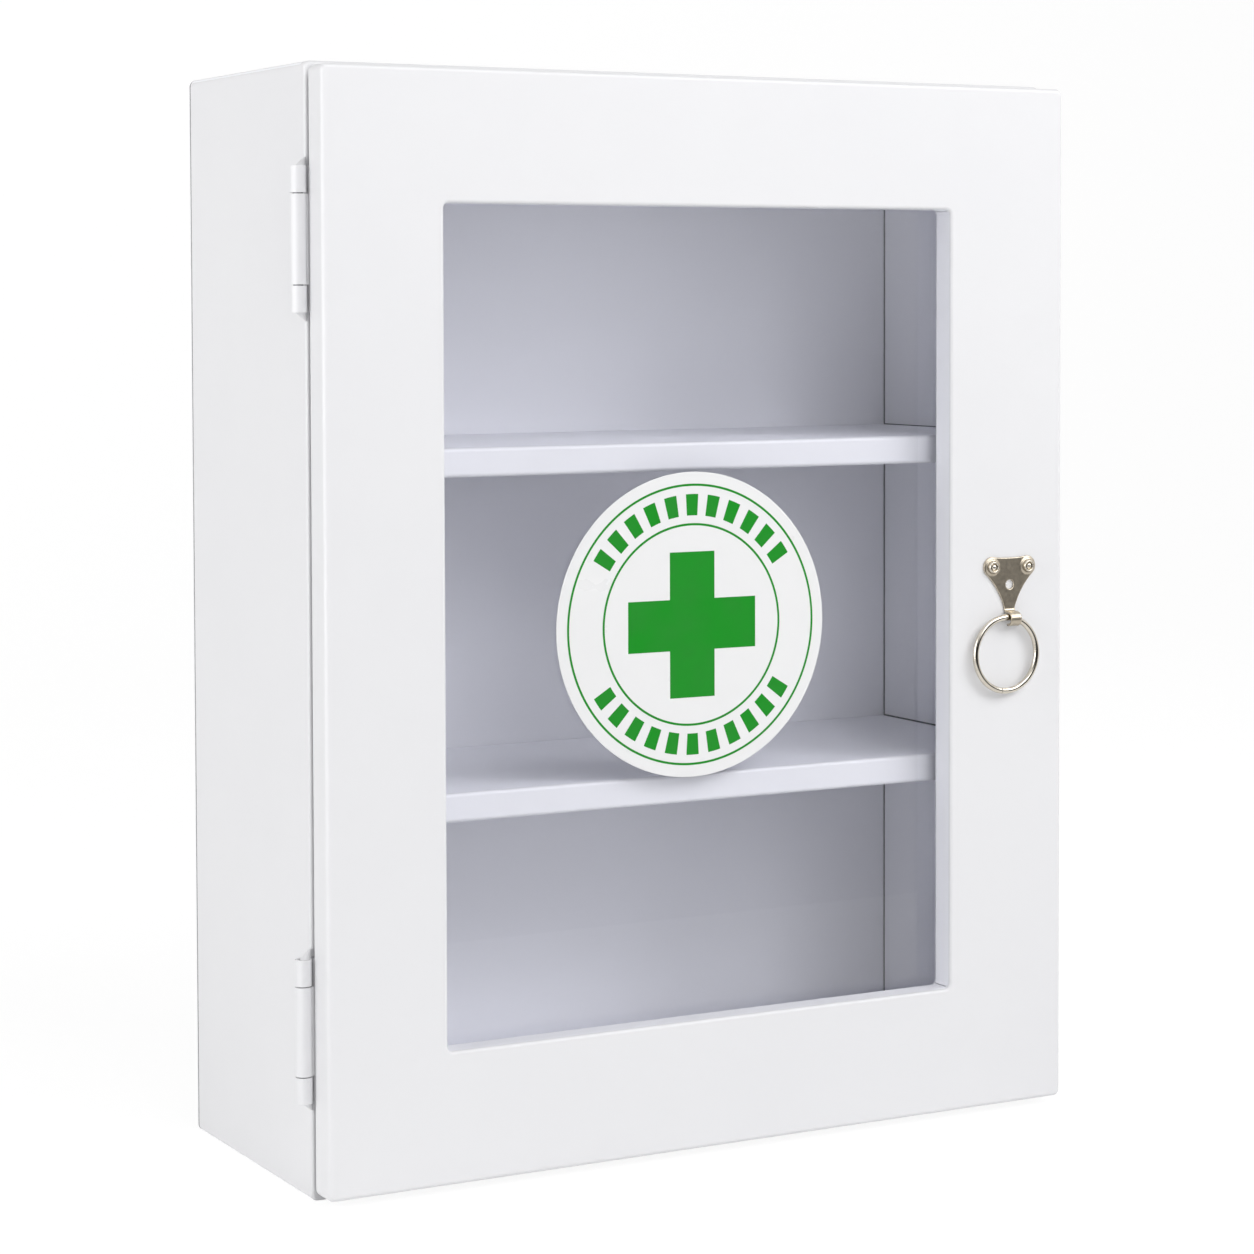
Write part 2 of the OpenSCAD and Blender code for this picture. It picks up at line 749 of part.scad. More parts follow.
// Steel plate on the door's back lip that the magnet holds
module strike_plate() {
    color(ZINC) difference() {
        translate([strike_x, door_back, catch_z - strike_h / 2])
            upright_plate(strike_w, strike_h, strike_t, 2);
        at_rivets() cylinder(r = rivet_d / 2 + fit_clear, h = 4 * strike_t, center = true);
    }
}

module strike_rivets() {
    color(ZINC) at_rivets() {
        translate([0, 0, strike_t])
            cylinder(d1 = rivet_head_d, d2 = rivet_face_d, h = rivet_head_h);
        translate([0, 0, -sheet_t - rivet_head_h])
            cylinder(d = rivet_d, h = sheet_t + strike_t + 2 * rivet_head_h);
        translate([0, 0, -sheet_t - rivet_head_h])
            cylinder(d1 = rivet_shop_d[0], d2 = rivet_shop_d[1], h = rivet_head_h);
    }
}

// ---- Ring pull ----

// A pie slice from angle a0 to a1, out to radius r
module slice(r, a0, a1) {
    steps = ceil((a1 - a0) / 30);
    polygon(concat([[0, 0]],
        [for (i = [0:steps]) let (a = a0 + (a1 - a0) * i / steps) 2 * r * [cos(a), sin(a)]]));
}

// A strip of the plate's thickness bent round the origin from angle a0 to a1
module bent_strip(mid_r, a0, a1) {
    intersection() {
        difference() {
            circle(mid_r + pull_plate_t / 2);
            circle(mid_r - pull_plate_t / 2);
        }
        slice(2 * mid_r, a0, a1);
    }
}

// Outline of the plate: two lobes at the screws and hollow sides down to a narrow neck. Each
// side is an arc that touches its lobe and ends at the neck, so its centre is where a circle
// round the lobe's centre meets one round the neck's corner.
module pull_outline() {
    half = pull_screw_spacing / 2;
    neck = [pull_eye_w / 2, bend_z - pull_z];
    top_r = (pow(half, 2) + pow(pull_top_sag, 2)) / (2 * pull_top_sag);
    run = neck - [half, 0];
    along = (pow(pull_side_r + pull_lobe_r, 2) - pow(pull_side_r, 2) + run * run) / (2 * norm(run));
    across = sqrt(pow(pull_side_r + pull_lobe_r, 2) - pow(along, 2));
    side = [half, 0] + (along * run + across * [-run.y, run.x]) / norm(run);
    touch = [half, 0] + pull_lobe_r * (side - [half, 0]) / norm(side - [half, 0]);
    difference() {
        polygon([[half, pull_lobe_r], touch, neck, [-neck.x, neck.y], [-touch.x, touch.y],
            [-half, pull_lobe_r]]);
        for (sign = [-1, 1]) translate([sign * side.x, side.y]) circle(pull_side_r, $fn = 180);
        translate([0, pull_lobe_r - pull_top_sag + top_r]) circle(top_r, $fn = 180);
    }
    for (sign = [-1, 1]) translate([sign * half, 0]) circle(pull_lobe_r);
}

// Pressed plate whose tongue is bent forwards and curled down into an open eye
module pull_plate() {
    color(NICKEL) difference() {
        union() {
            translate([pull_x, door_front, pull_z]) rotate([90, 0, 0])
                linear_extrude(pull_plate_t) pull_outline();
            at_pull_screws() mirror([0, 0, 1])
                cylinder(r1 = boss_r, r2 = boss_top_r, h = pull_boss_h);
            translate([pull_x, 0, 0]) rotate([90, 0, 90])
                linear_extrude(pull_eye_w, center = true) {
                    translate([bend_y, bend_z])
                        bent_strip(bend_mid_r, bend_angle - 180, bend_lap);
                    translate([eye_y, eye_z])
                        bent_strip(eye_mid_r, bend_angle - bend_lap, 360 - eye_open);
                }
        }
        translate([pull_x, door_front + 1, pull_z - pull_hole_drop]) rotate([90, 0, 0])
            cylinder(d = pull_hole_d, h = pull_plate_t + 2);
        at_pull_screws() translate([0, 0, -2])
            cylinder(r = pull_screw_d / 2 + fit_clear, h = pull_plate_t + 4);
    }
}

// Domed screws with a dimple in the head
module pull_screws() {
    color(NICKEL) at_pull_screws() translate([0, 0, -pull_boss_h]) difference() {
        union() {
            cylinder(d = pull_screw_d,
                h = pull_boss_h + pull_plate_t + sheet_t + pull_nut_t + pull_screw_tail);
            translate([0, 0, pull_head_crown - pull_head_h])
                cylinder(r = pull_head_r, h = pull_head_h - pull_head_crown);
            translate([0, 0, -pull_head_h])
                cylinder(r1 = pull_head_top_r, r2 = pull_head_r, h = pull_head_crown);
        }
        translate([0, 0, -pull_head_h])
            cylinder(r1 = pull_dimple_r, r2 = pull_dimple_r / 4, h = pull_dimple_depth);
    }
}

module pull_nuts() {
    color(ZINC) at_pull_screws() translate([0, 0, pull_plate_t + sheet_t]) rotate([90, 0, 0])
        nut(pull_nut_af, pull_nut_t, pull_screw_d + 2 * nut_bore_clear);
}

// Wire bent to a ring, with its ends meeting near the bottom
module pull_ring() {
    color(NICKEL) translate([ring_x, eye_y, ring_z]) rotate([90, 0, 0]) difference() {
        rotate_extrude($fn = 120) translate([ring_r, 0]) circle(d = ring_wire_d, $fn = 32);
        rotate(ring_joint_angle) translate([ring_r, 0, 0])
            cube([2 * ring_wire_d, ring_joint_gap, 2 * ring_wire_d], center = true);
    }
}

case_wrap();
back_panel();
shelf_upper();
shelf_lower();
hinge_upper_case_leaf();
hinge_lower_case_leaf();
hinge_upper_pin();
hinge_lower_pin();
catch_bracket();
catch_housing();
catch_magnet();
catch_pole_plates();
catch_screws();
door_buffers();
door_pan();
hinge_upper_door_leaf();
hinge_lower_door_leaf();
sealing_tape();
window_pane();
pane_clips();
clip_studs();
clip_nuts();
sticker();
strike_plate();
strike_rivets();
pull_plate();
pull_screws();
pull_nuts();
pull_ring();
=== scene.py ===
"""Looks of a wall medicine cabinet: powder-coated sheet steel, a clear pane with a printed round
sticker, a plated ring pull, and the stage that shows them. Metres, in the frame of the model."""

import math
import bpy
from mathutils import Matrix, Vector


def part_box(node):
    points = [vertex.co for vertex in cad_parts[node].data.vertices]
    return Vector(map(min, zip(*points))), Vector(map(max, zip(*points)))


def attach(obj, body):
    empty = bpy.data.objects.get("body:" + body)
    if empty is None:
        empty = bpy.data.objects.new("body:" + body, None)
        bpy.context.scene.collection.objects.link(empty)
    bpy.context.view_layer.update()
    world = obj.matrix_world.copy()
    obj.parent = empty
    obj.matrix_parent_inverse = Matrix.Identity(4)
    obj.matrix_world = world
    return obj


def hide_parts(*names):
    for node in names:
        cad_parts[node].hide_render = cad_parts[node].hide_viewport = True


bl_info = {
    "name": "Wall Medicine Cabinet",
    "version": (1, 0, 0),
    "blender": (4, 5, 0),
    "location": "View3D > Sidebar > Cabinet",
    "description": "Paint, plating, printed sticker, ring pull and studio of a wall medicine cabinet",
    "category": "Object",
}

import bpy
import numpy as np
from bpy.props import FloatProperty, FloatVectorProperty, IntProperty, PointerProperty
from mathutils import Vector
from mathutils.geometry import delaunay_2d_cdt

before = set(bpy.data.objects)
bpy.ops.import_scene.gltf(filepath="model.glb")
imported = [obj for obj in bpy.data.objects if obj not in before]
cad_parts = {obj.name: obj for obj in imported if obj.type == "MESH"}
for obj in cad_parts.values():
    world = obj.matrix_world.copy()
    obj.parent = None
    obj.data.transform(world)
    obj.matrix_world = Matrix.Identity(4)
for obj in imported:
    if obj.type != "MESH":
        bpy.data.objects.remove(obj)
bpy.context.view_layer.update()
MM = 0.001
AIR = 0.02 * MM
SHEET_T = 0.9 * MM

PAINTED = ("case_wrap", "back_panel", "shelf_upper", "shelf_lower", "catch_bracket", "door_pan",
           "hinge_upper_case_leaf", "hinge_lower_case_leaf",
           "hinge_upper_door_leaf", "hinge_lower_door_leaf")
ZINC_PLATED = ("catch_pole_plates", "catch_screws", "pane_clips", "clip_studs", "clip_nuts",
               "strike_plate", "strike_rivets", "pull_nuts")
HINGE_PINS = ("hinge_upper_pin", "hinge_lower_pin")


# ---- Sizes and colours that a user would change ----

def length(name, description, default_mm):
    """A length property with its default given in millimetres."""
    return FloatProperty(name=name, description=description, default=default_mm * MM,
                         unit="LENGTH", subtype="DISTANCE", precision=5)


def colour(name, description, default):
    return FloatVectorProperty(name=name, description=description, default=default,
                               subtype="COLOR", size=3, min=0.0, max=1.0)


def factor(name, description, default):
    return FloatProperty(name=name, description=description, default=default,
                         subtype="FACTOR", min=0.0, max=1.0)


def power(name, description, watts):
    return FloatProperty(name=name, description=description, default=watts, min=0.0,
                         unit="POWER")


class CabinetPaintSettings(bpy.types.PropertyGroup):
    """Semi-gloss powder coat on the folded steel, painted light inside, painted shade in joints"""
    base: colour("Paint", "Colour of the powder coat", (0.757, 0.757, 0.771))
    shade: colour("Paint shade", "Colour of its slightly duller clouds", (0.742, 0.742, 0.759))
    # Painted light: a lighter, cooler coat inside the case and in the window's recess.
    inner: colour("Inner paint", "Colour of the cooler coat inside the case", (0.94, 0.943, 0.98))
    # Painted shade: a near-black line along the open joints inside the case, and its width.
    seam: colour("Seam", "Colour in the open joints inside the case", (0.06, 0.06, 0.07))
    seam_shade_w: length("Seam width", "Width of the dark line that an open joint shows", 0.45)
    # Where the painted light inside the case starts, behind the case's front.
    painted_light_front: length("Inner front", "How far behind the case's front the inner coat starts",
                        4.2)
    roughness: factor("Roughness", "Mean roughness of the paint", 0.34)
    peel_cell: length("Orange peel cell", "Size of the ripples in the paint", 1.6)
    peel_height: length("Orange peel height", "Height of the ripples in the paint", 0.012)


class CabinetPullSettings(bpy.types.PropertyGroup):
    """Nickel-plated ring pull"""
    nickel: colour("Nickel", "Colour of the plate", (0.52, 0.455, 0.36))
    tarnish: colour("Tarnish", "Colour of the plate's dull patches", (0.43, 0.385, 0.315))
    wire: colour("Wire", "Colour of the polished ring and screws", (0.68, 0.635, 0.56))
    wire_shade: colour("Wire shade", "Colour of their duller patches", (0.58, 0.535, 0.46))
    plate_t: length("Plate thickness", "Thickness of the pressed plate", 0.9)
    edge_r: length("Edge radius", "Rounding of the pressed plate's edges", 0.36)
    lobe_r: length("Lobe radius", "Radius of the plate's two upper lobes", 3.9)
    side_r: length("Side radius", "Radius of the plate's hollow sides", 30.0)
    top_sag: length("Top hollow", "Depth of the hollow in the plate's upper edge", 0.5)
    spare_drop: length("Spare hole drop", "Distance from the screws to the spare hole", 7.0)
    spare_r: length("Spare hole radius", "Radius of the spare hole", 1.8)
    eye_drop: length("Eye drop", "Distance from the screws down to the eye", 20.1)
    eye_w: length("Tongue width", "Width of the tongue that is curled into the eye", 4.8)
    eye_r: length("Eye radius", "Inner radius of the eye", 1.95)
    bend_r: length("Bend radius", "Radius of the bend above the eye, at mid thickness", 1.6)
    eye_open: FloatProperty(name="Eye opening", description="Angle that the eye leaves open",
                            default=math.radians(70), subtype="ANGLE")
    boss_h: length("Boss height", "Height of the raised bosses round the screws", 0.6)
    boss_r: length("Boss radius", "Radius of a boss at its foot", 3.4)
    boss_top_r: length("Boss top radius", "Radius of a boss at its top", 2.7)
    cell: length("Cell", "Spacing of the plate's surface points", 0.3)
    head_h: length("Screw head height", "Height of a screw head", 1.25)
    joint: FloatProperty(name="Joint angle", description="Where the ends of the wire meet",
                         default=math.radians(-99), subtype="ANGLE")
    joint_gap: length("Joint gap", "Gap between the two ends of the wire", 0.15)


class CabinetStickerSettings(bpy.types.PropertyGroup):
    """Round sticker printed with a plain cross, two rings and rows of plain bars"""
    vinyl: colour("Vinyl", "Colour of the sticker", (0.79, 0.79, 0.795))
    ink: colour("Ink", "Colour of the print", (0.003, 0.262, 0.010))
    outer_ring: factor("Outer ring", "Radius of the outer ring as a share of the sticker's", 0.915)
    inner_ring: factor("Inner ring", "Radius of the inner ring as a share of the sticker's", 0.657)
    ring_w: length("Ring width", "Width of the two rings' lines", 0.85)
    cross_share: factor("Cross", "Length of the cross's arms as a share of the radius", 0.955)
    arm_share: factor("Cross arm", "Width of the cross's arms as a share of the radius", 0.335)
    bars: IntProperty(name="Bars", description="Bars in each of the two rows", default=11, min=1)
    bar_in: factor("Bar start", "Inner end of the bars as a share of the radius", 0.715)
    bar_out: factor("Bar end", "Outer end of the bars as a share of the radius", 0.855)
    row_angle: FloatProperty(name="Row", description="Angle that each row of bars spans",
                             default=math.radians(122), subtype="ANGLE")
    ink_t: length("Ink thickness", "Thickness of the printed ink", 0.03)


class CabinetStageSettings(bpy.types.PropertyGroup):
    """Camera, lamps and floor"""
    camera_place: FloatVectorProperty(
        name="Camera place", description="Where the camera stands", subtype="XYZ", unit="LENGTH",
        size=3, default=(-0.5848, -1.0800, 0.3150))
    camera_turn: FloatVectorProperty(
        name="Camera turn", description="The camera's rotation", subtype="EULER", size=3,
        default=tuple(math.radians(a) for a in (87.60, 0.165, -28.50)))
    lens_mm: FloatProperty(name="Lens", description="Focal length in millimetres", default=91.17)
    frame_shift: FloatProperty(name="Shift", description="Vertical shift of the frame",
                               default=-0.1509)
    key_w: power("Key lamp", "Power of the lamp high at the right front", 24.0)
    front_w: power("Front lamp", "Power of the lamp behind the camera", 12.0)
    high_w: power("High lamp", "Power of the lamp high above the front", 9.0)
    side_w: power("Side lamp", "Power of the lamp at the left", 23.0)
    ambient: FloatProperty(name="Ambient", description="Strength of the light from all round",
                           default=0.2, min=0.0)


# ---- Surfaces ----

def link_mesh(name, vertices, faces, smooth=True):
    """A mesh object at the origin from vertices in metres and a list of faces."""
    mesh = bpy.data.meshes.new(name)
    mesh.from_pydata(np.asarray(vertices, float).tolist(), [], [tuple(f) for f in faces])
    mesh.validate()
    mesh.polygons.foreach_set("use_smooth", np.full(len(mesh.polygons), smooth))
    made = bpy.data.objects.new(name, mesh)
    bpy.context.scene.collection.objects.link(made)
    return made


def grid_faces(rows, columns, wrap=False):
    """Quads of a grid of rows by columns points, whose rows are closed loops with wrap."""
    i = np.arange(rows - 1)[:, None]
    j = np.arange(columns if wrap else columns - 1)[None, :]
    j_next = (j + 1) % columns
    corners = [i * columns + j, i * columns + j_next, (i + 1) * columns + j_next,
               (i + 1) * columns + j]
    return np.stack([np.broadcast_to(c, (i.size, j.size)).ravel() for c in corners], axis=1)


def outward(vertices, faces):
    """The faces, turned over if together they enclose a negative volume: the sum over each face
    of its first corner dotted with the cross product of the next two."""
    quads = np.asarray(faces)
    a, b, c = vertices[quads[:, 0]], vertices[quads[:, 1]], vertices[quads[:, 2]]
    volume = np.einsum("ij,ij->", a, np.cross(b, c))
    if quads.shape[1] == 4:
        d = vertices[quads[:, 3]]
        volume += np.einsum("ij,ij->", a, np.cross(c, d))
    return quads if volume > 0 else quads[:, ::-1]


def capped_rings(name, rings, first, last):
    """Rings of points (rows, steps, 3) joined to each other and closed by a fan of triangles to
    one point before the first ring and one after the last."""
    rows, steps = rings.shape[:2]
    quads = grid_faces(rows, steps, wrap=True)
    points = np.vstack([rings.reshape(-1, 3), [first, last]])
    column = np.arange(steps)
    after = (column + 1) % steps
    end_row = (rows - 1) * steps
    fans = np.vstack([
        np.stack([np.full(steps, rows * steps), after, column], axis=1),
        np.stack([np.full(steps, rows * steps + 1), end_row + column, end_row + after], axis=1)])
    if outward(points, quads) is not quads:
        fans = fans[:, ::-1]
    return link_mesh(name, points, outward(points, quads).tolist() + fans.tolist())


def lathe(name, profile, centre, axis, steps):
    """A profile of (radius, height) pairs turned round an axis through centre. It starts and ends
    on the axis, where it closes in one point: x = r cos a, y = r sin a, z = h."""
    angle = np.linspace(0.0, 2 * math.pi, steps, endpoint=False)
    radius, height = np.asarray(profile, float)[1:-1].T
    rings = np.stack([radius[:, None] * np.cos(angle), radius[:, None] * np.sin(angle),
                      np.broadcast_to(height[:, None], (radius.size, steps))], axis=-1)
    turn = np.array(Vector((0, 0, 1)).rotation_difference(Vector(axis)).to_matrix())
    ends = [(0, 0, profile[0][1]), (0, 0, profile[-1][1])] @ turn.T + np.asarray(centre)
    return capped_rings(name, rings @ turn.T + np.asarray(centre), *ends)


def arc(centre, radius, start, end, cell):
    """Points on a circle's arc from one angle to another, about a cell apart:
    (cx + r cos a, cy + r sin a)."""
    steps = max(2, math.ceil(abs(end - start) * radius / cell) + 1)
    angle = np.linspace(start, end, steps)
    return np.asarray(centre) + radius * np.stack([np.cos(angle), np.sin(angle)], axis=1)


def line(start, end, cell):
    """Points on a straight line from start to end, about a cell apart."""
    start, end = np.asarray(start, float), np.asarray(end, float)
    steps = max(2, math.ceil(np.linalg.norm(end - start) / cell) + 1)
    return start + np.linspace(0.0, 1.0, steps)[:, None] * (end - start)


def without_repeats(loop):
    """The loop without points that lie on the one before."""
    apart = np.linalg.norm(loop - np.roll(loop, 1, axis=0), axis=1) > 1e-7
    return loop[apart]


def inset(loop, distance):
    """A closed loop moved to its left, which is inwards when it runs anticlockwise."""
    along = np.roll(loop, -1, axis=0) - np.roll(loop, 1, axis=0)
    along /= np.linalg.norm(along, axis=1)[:, None]
    return loop + distance * np.stack([-along[:, 1], along[:, 0]], axis=1)


def inside(points, loop):
    """Which points lie inside a closed loop: those for which an odd number of its edges cross
    the ray to the right."""
    x, y = points[:, :1], points[:, 1:]
    a, b = loop, np.roll(loop, -1, axis=0)
    spans = (a[:, 1] > y) != (b[:, 1] > y)
    rise = np.where(a[:, 1] == b[:, 1], 1.0, b[:, 1] - a[:, 1])
    crossing = a[:, 0] + (y - a[:, 1]) * (b[:, 0] - a[:, 0]) / rise
    return (spans & (x < crossing)).sum(axis=1) % 2 == 1


def plate_surface(loops, thickness, edge_r, fill, rim_steps=6):
    """A flat plate with rounded rims as points (u, v, height), the rims' faces and the flat ones.
    loops[0] is the outline, anticlockwise, the others are holes, clockwise, and fill holds points
    inside the plate. Each rim is a half round of rows: inset e(1 - sin a), height
    t/2 - e(1 - cos a) and its mirror image. The front and the back are filled with triangles
    between the rims and the fill."""
    turn = np.linspace(0.0, math.pi / 2, rim_steps)
    inwards = edge_r * (1 - np.sin(turn))
    heights = thickness / 2 - edge_r * (1 - np.cos(turn))
    rows = list(zip(np.concatenate([inwards, inwards[::-1]]),
                    np.concatenate([heights, -heights[::-1]])))
    points, faces, rims, total = [], [], [], 0
    for loop in loops:
        rims.append((total, len(loop)))
        points += [np.column_stack([inset(loop, d), np.full(len(loop), h)]) for d, h in rows]
        faces.append(grid_faces(len(rows), len(loop), wrap=True)[:, ::-1] + total)
        total += len(rows) * len(loop)
    edge = np.vstack([inset(loop, edge_r) for loop in loops])
    flat = np.vstack([edge, fill])
    front_ids, back_ids, edges, at = [], [], [], 0
    for start, count in rims:
        front_ids.append(start + np.arange(count))
        back_ids.append(start + (len(rows) - 1) * count + np.arange(count))
        edges += [(at + i, at + (i + 1) % count) for i in range(count)]
        at += count
    fill_ids = total + np.arange(len(fill))
    points.append(np.column_stack([fill, np.full(len(fill), thickness / 2)]))
    points.append(np.column_stack([fill, np.full(len(fill), -thickness / 2)]))
    made = delaunay_2d_cdt([Vector(p) for p in flat], edges, [], 1, 1e-8)
    came_from = np.array([source[0] for source in made[3]])
    corners = came_from[np.array(made[2])]
    middle = flat[corners].mean(axis=1)
    kept = inside(middle, edge[:rims[0][1]])
    for hole in loops[1:]:
        kept &= ~inside(middle, inset(hole, edge_r))
    front = np.concatenate([*front_ids, fill_ids])[corners[kept]]
    back = np.concatenate([*back_ids, fill_ids + len(fill)])[corners[kept]][:, ::-1]
    return np.vstack(points), np.vstack(faces).tolist(), [*front.tolist(), *back.tolist()]


def rounded_rectangle(low, high, r, cell):
    """An upright rectangle in X and Z with round corners, anticlockwise seen from the front."""
    corners = ((high.x - r, high.z - r), (low.x + r, high.z - r), (low.x + r, low.z + r),
               (high.x - r, low.z + r))
    return np.vstack([arc(corner, r, quarter * math.pi / 2, (quarter + 1) * math.pi / 2, cell)
                      for quarter, corner in enumerate(corners)])


def prisms(name, outlines, thickness, place):
    """Flat outlines (u, v), anticlockwise, each closed into a thin prism. place maps the points
    (u, v, height) into space."""
    points, faces, total = [], [], 0
    for outline in outlines:
        count = len(outline)
        top = total + np.arange(count)
        points += [np.column_stack([outline, np.full(count, h)]) for h in (thickness, 0.0)]
        faces += [top.tolist(), (top[::-1] + count).tolist()]
        faces += (grid_faces(2, count, wrap=True)[:, ::-1] + total).tolist()
        total += 2 * count
    return link_mesh(name, place(np.vstack(points)), faces, smooth=False)


# ---- Materials ----

def new_material(name):
    """A node material with its Principled shader."""
    material = bpy.data.materials.new(name)
    material.use_nodes = True
    return material, material.node_tree, material.node_tree.nodes["Principled BSDF"]


def object_coordinates(tree):
    """Places on the piece in metres, in the frame of the model."""
    return tree.nodes.new("ShaderNodeTexCoord").outputs["Object"]


def noise(tree, vector, scale, detail, roughness=0.5):
    """Noise on Object coordinates: scale is in cells per metre."""
    texture = tree.nodes.new("ShaderNodeTexNoise")
    texture.inputs["Scale"].default_value = scale
    texture.inputs["Detail"].default_value = detail
    texture.inputs["Roughness"].default_value = roughness
    tree.links.new(vector, texture.inputs["Vector"])
    return texture.outputs["Fac"]


def spread(tree, value, low, high, from_low=0.3, from_high=0.7):
    """Maps a noise value to the range from low to high."""
    node = tree.nodes.new("ShaderNodeMapRange")
    node.inputs["From Min"].default_value = from_low
    node.inputs["From Max"].default_value = from_high
    node.inputs["To Min"].default_value = low
    node.inputs["To Max"].default_value = high
    tree.links.new(value, node.inputs["Value"])
    return node.outputs["Result"]


def mixed_colours(tree, fac, first, second):
    """A mix of two colours, each given as values or as another node's output."""
    node = tree.nodes.new("ShaderNodeMix")
    node.data_type = "RGBA"
    tree.links.new(fac, node.inputs["Factor"])
    for socket, given in ((node.inputs["A"], first), (node.inputs["B"], second)):
        if isinstance(given, bpy.types.NodeSocket):
            tree.links.new(given, socket)
        else:
            socket.default_value = (*given, 1.0)
    return node.outputs["Result"]


def math_node(tree, operation, first, second):
    """A math node on two values or outputs."""
    node = tree.nodes.new("ShaderNodeMath")
    node.operation = operation
    for socket, given in zip(node.inputs, (first, second)):
        if isinstance(given, bpy.types.NodeSocket):
            tree.links.new(given, socket)
        else:
            socket.default_value = given
    return node.outputs["Value"]


def vector_node(tree, operation, vector, value=(0.0, 0.0, 0.0)):
    """A vector math node on an output and a value. LENGTH gives a number, the rest a vector."""
    node = tree.nodes.new("ShaderNodeVectorMath")
    node.operation = operation
    tree.links.new(vector, node.inputs[0])
    node.inputs[1].default_value = value
    return node.outputs["Value" if operation == "LENGTH" else "Vector"]


def from_middle(tree, vector, middle, half):
    """The vector counted from a middle, in shares of half the size along each axis."""
    return vector_node(tree, "DIVIDE", vector_node(tree, "SUBTRACT", vector, middle), half)


def within_box(tree, vector, low, high):
    """1 inside a box and 0 outside: with each coordinate scaled so that the box reaches from -1
    to 1, the largest magnitude is below 1 inside."""
    low, high = Vector(low), Vector(high)
    scaled = from_middle(tree, vector, (low + high) / 2, (high - low) / 2)
    parts = tree.nodes.new("ShaderNodeSeparateXYZ")
    tree.links.new(vector_node(tree, "ABSOLUTE", scaled), parts.inputs["Vector"])
    largest = math_node(tree, "MAXIMUM", parts.outputs["X"], parts.outputs["Y"])
    largest = math_node(tree, "MAXIMUM", largest, parts.outputs["Z"])
    return math_node(tree, "LESS_THAN", largest, 1.0)


def bump(tree, height, distance, shader):
    """Raises the shader's surface by the height value times distance, in metres."""
    node = tree.nodes.new("ShaderNodeBump")
    node.inputs["Strength"].default_value = 1.0
    node.inputs["Distance"].default_value = distance
    tree.links.new(height, node.inputs["Height"])
    tree.links.new(node.outputs["Normal"], shader.inputs["Normal"])


def stretched(tree, vector, scale):
    """The vector with each axis scaled, so that noise on it runs out along an axis."""
    node = tree.nodes.new("ShaderNodeMapping")
    node.inputs["Scale"].default_value = scale
    tree.links.new(vector, node.inputs["Vector"])
    return node.outputs["Vector"]


def mirrored_sides(tree, vector):
    """The vector with its X made positive, so that one box stands for the left and the right."""
    parts = tree.nodes.new("ShaderNodeSeparateXYZ")
    tree.links.new(vector, parts.inputs["Vector"])
    joined = tree.nodes.new("ShaderNodeCombineXYZ")
    tree.links.new(math_node(tree, "ABSOLUTE", parts.outputs["X"], 0.0), joined.inputs["X"])
    tree.links.new(parts.outputs["Y"], joined.inputs["Y"])
    tree.links.new(parts.outputs["Z"], joined.inputs["Z"])
    return joined.outputs["Vector"]


def joint_shade_mask(tree, place, width):
    """1 along the joints inside the case, which get a painted shade: down both back corners, and
    where each shelf's folded ends stand along the side walls."""
    case_low, case_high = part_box("case_wrap")
    panel_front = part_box("back_panel")[0].y
    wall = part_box("shelf_upper")[1].x + 0.6 * width
    sides = mirrored_sides(tree, place)
    joint = within_box(tree, sides, (wall - width, panel_front - width, case_low.z),
                       (case_high.x, panel_front + 0.5 * width, case_high.z))
    for shelf in ("shelf_upper", "shelf_lower"):
        low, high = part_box(shelf)
        box = within_box(tree, sides, (high.x - width, low.y + 2 * MM, high.z - 3 * width),
                         (wall + 0.5 * width, high.y, high.z + 0.7 * width))
        joint = math_node(tree, "MAXIMUM", joint, box)
    return joint


def window_recess(tree, place):
    """1 in the recess that the window's folded frame makes in front of the pane, where the coat
    gets the same painted light as inside the case. The pane laps over the frame's seat by the
    same width all round."""
    lap, fold_r = 8.0 * MM, 1.3 * MM
    pane_low, pane_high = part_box("window_pane")
    edge = lap - SHEET_T / 2
    return within_box(tree, place,
                      (pane_low.x + edge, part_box("door_pan")[0].y + fold_r, pane_low.z + edge),
                      (pane_high.x - edge, pane_low.y, pane_high.z - edge))


def coat_with_painted_light_and_shade(settings):
    """Powder coat: soft clouds in colour and gloss, and the ripples of orange peel. Inside the case
    and in the window's recess the coat is painted lighter and cooler, as painted light for the
    cool light that bounces round in there; its bounds lie in the middle of the sheet. The joints
    inside the case get a painted shade, a near-black line."""
    material, tree, shader = new_material("powder_coat_painted_light_and_shade")
    place = object_coordinates(tree)
    clouds = spread(tree, noise(tree, place, scale=9.0, detail=3.0), 0.0, 1.0)
    coat = mixed_colours(tree, clouds, settings.base, settings.shade)
    half_t = SHEET_T / 2
    low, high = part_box("case_wrap")
    inner_low = (low.x + half_t, low.y + settings.painted_light_front, low.z + half_t)
    inner_high = (high.x - half_t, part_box("back_panel")[1].y - half_t, high.z - half_t)
    # Painted light: inside the case and in the window's recess the coat turns lighter and cooler.
    painted_light_mask = math_node(tree, "MAXIMUM", within_box(tree, place, inner_low, inner_high),
                     window_recess(tree, place))
    coat = mixed_colours(tree, painted_light_mask, coat, settings.inner)
    # Painted shade: a near-black line down the back corners and along the shelves' ends.
    coat = mixed_colours(tree, joint_shade_mask(tree, place, settings.seam_shade_w), coat, settings.seam)
    tree.links.new(coat, shader.inputs["Base Color"])
    gloss = noise(tree, place, scale=40.0, detail=4.0)
    tree.links.new(spread(tree, gloss, settings.roughness - 0.04, settings.roughness + 0.05),
                   shader.inputs["Roughness"])
    peel = noise(tree, place, scale=1.0 / settings.peel_cell, detail=2.0)
    bump(tree, peel, settings.peel_height, shader)
    shader.inputs["Specular IOR Level"].default_value = 0.45
    return material


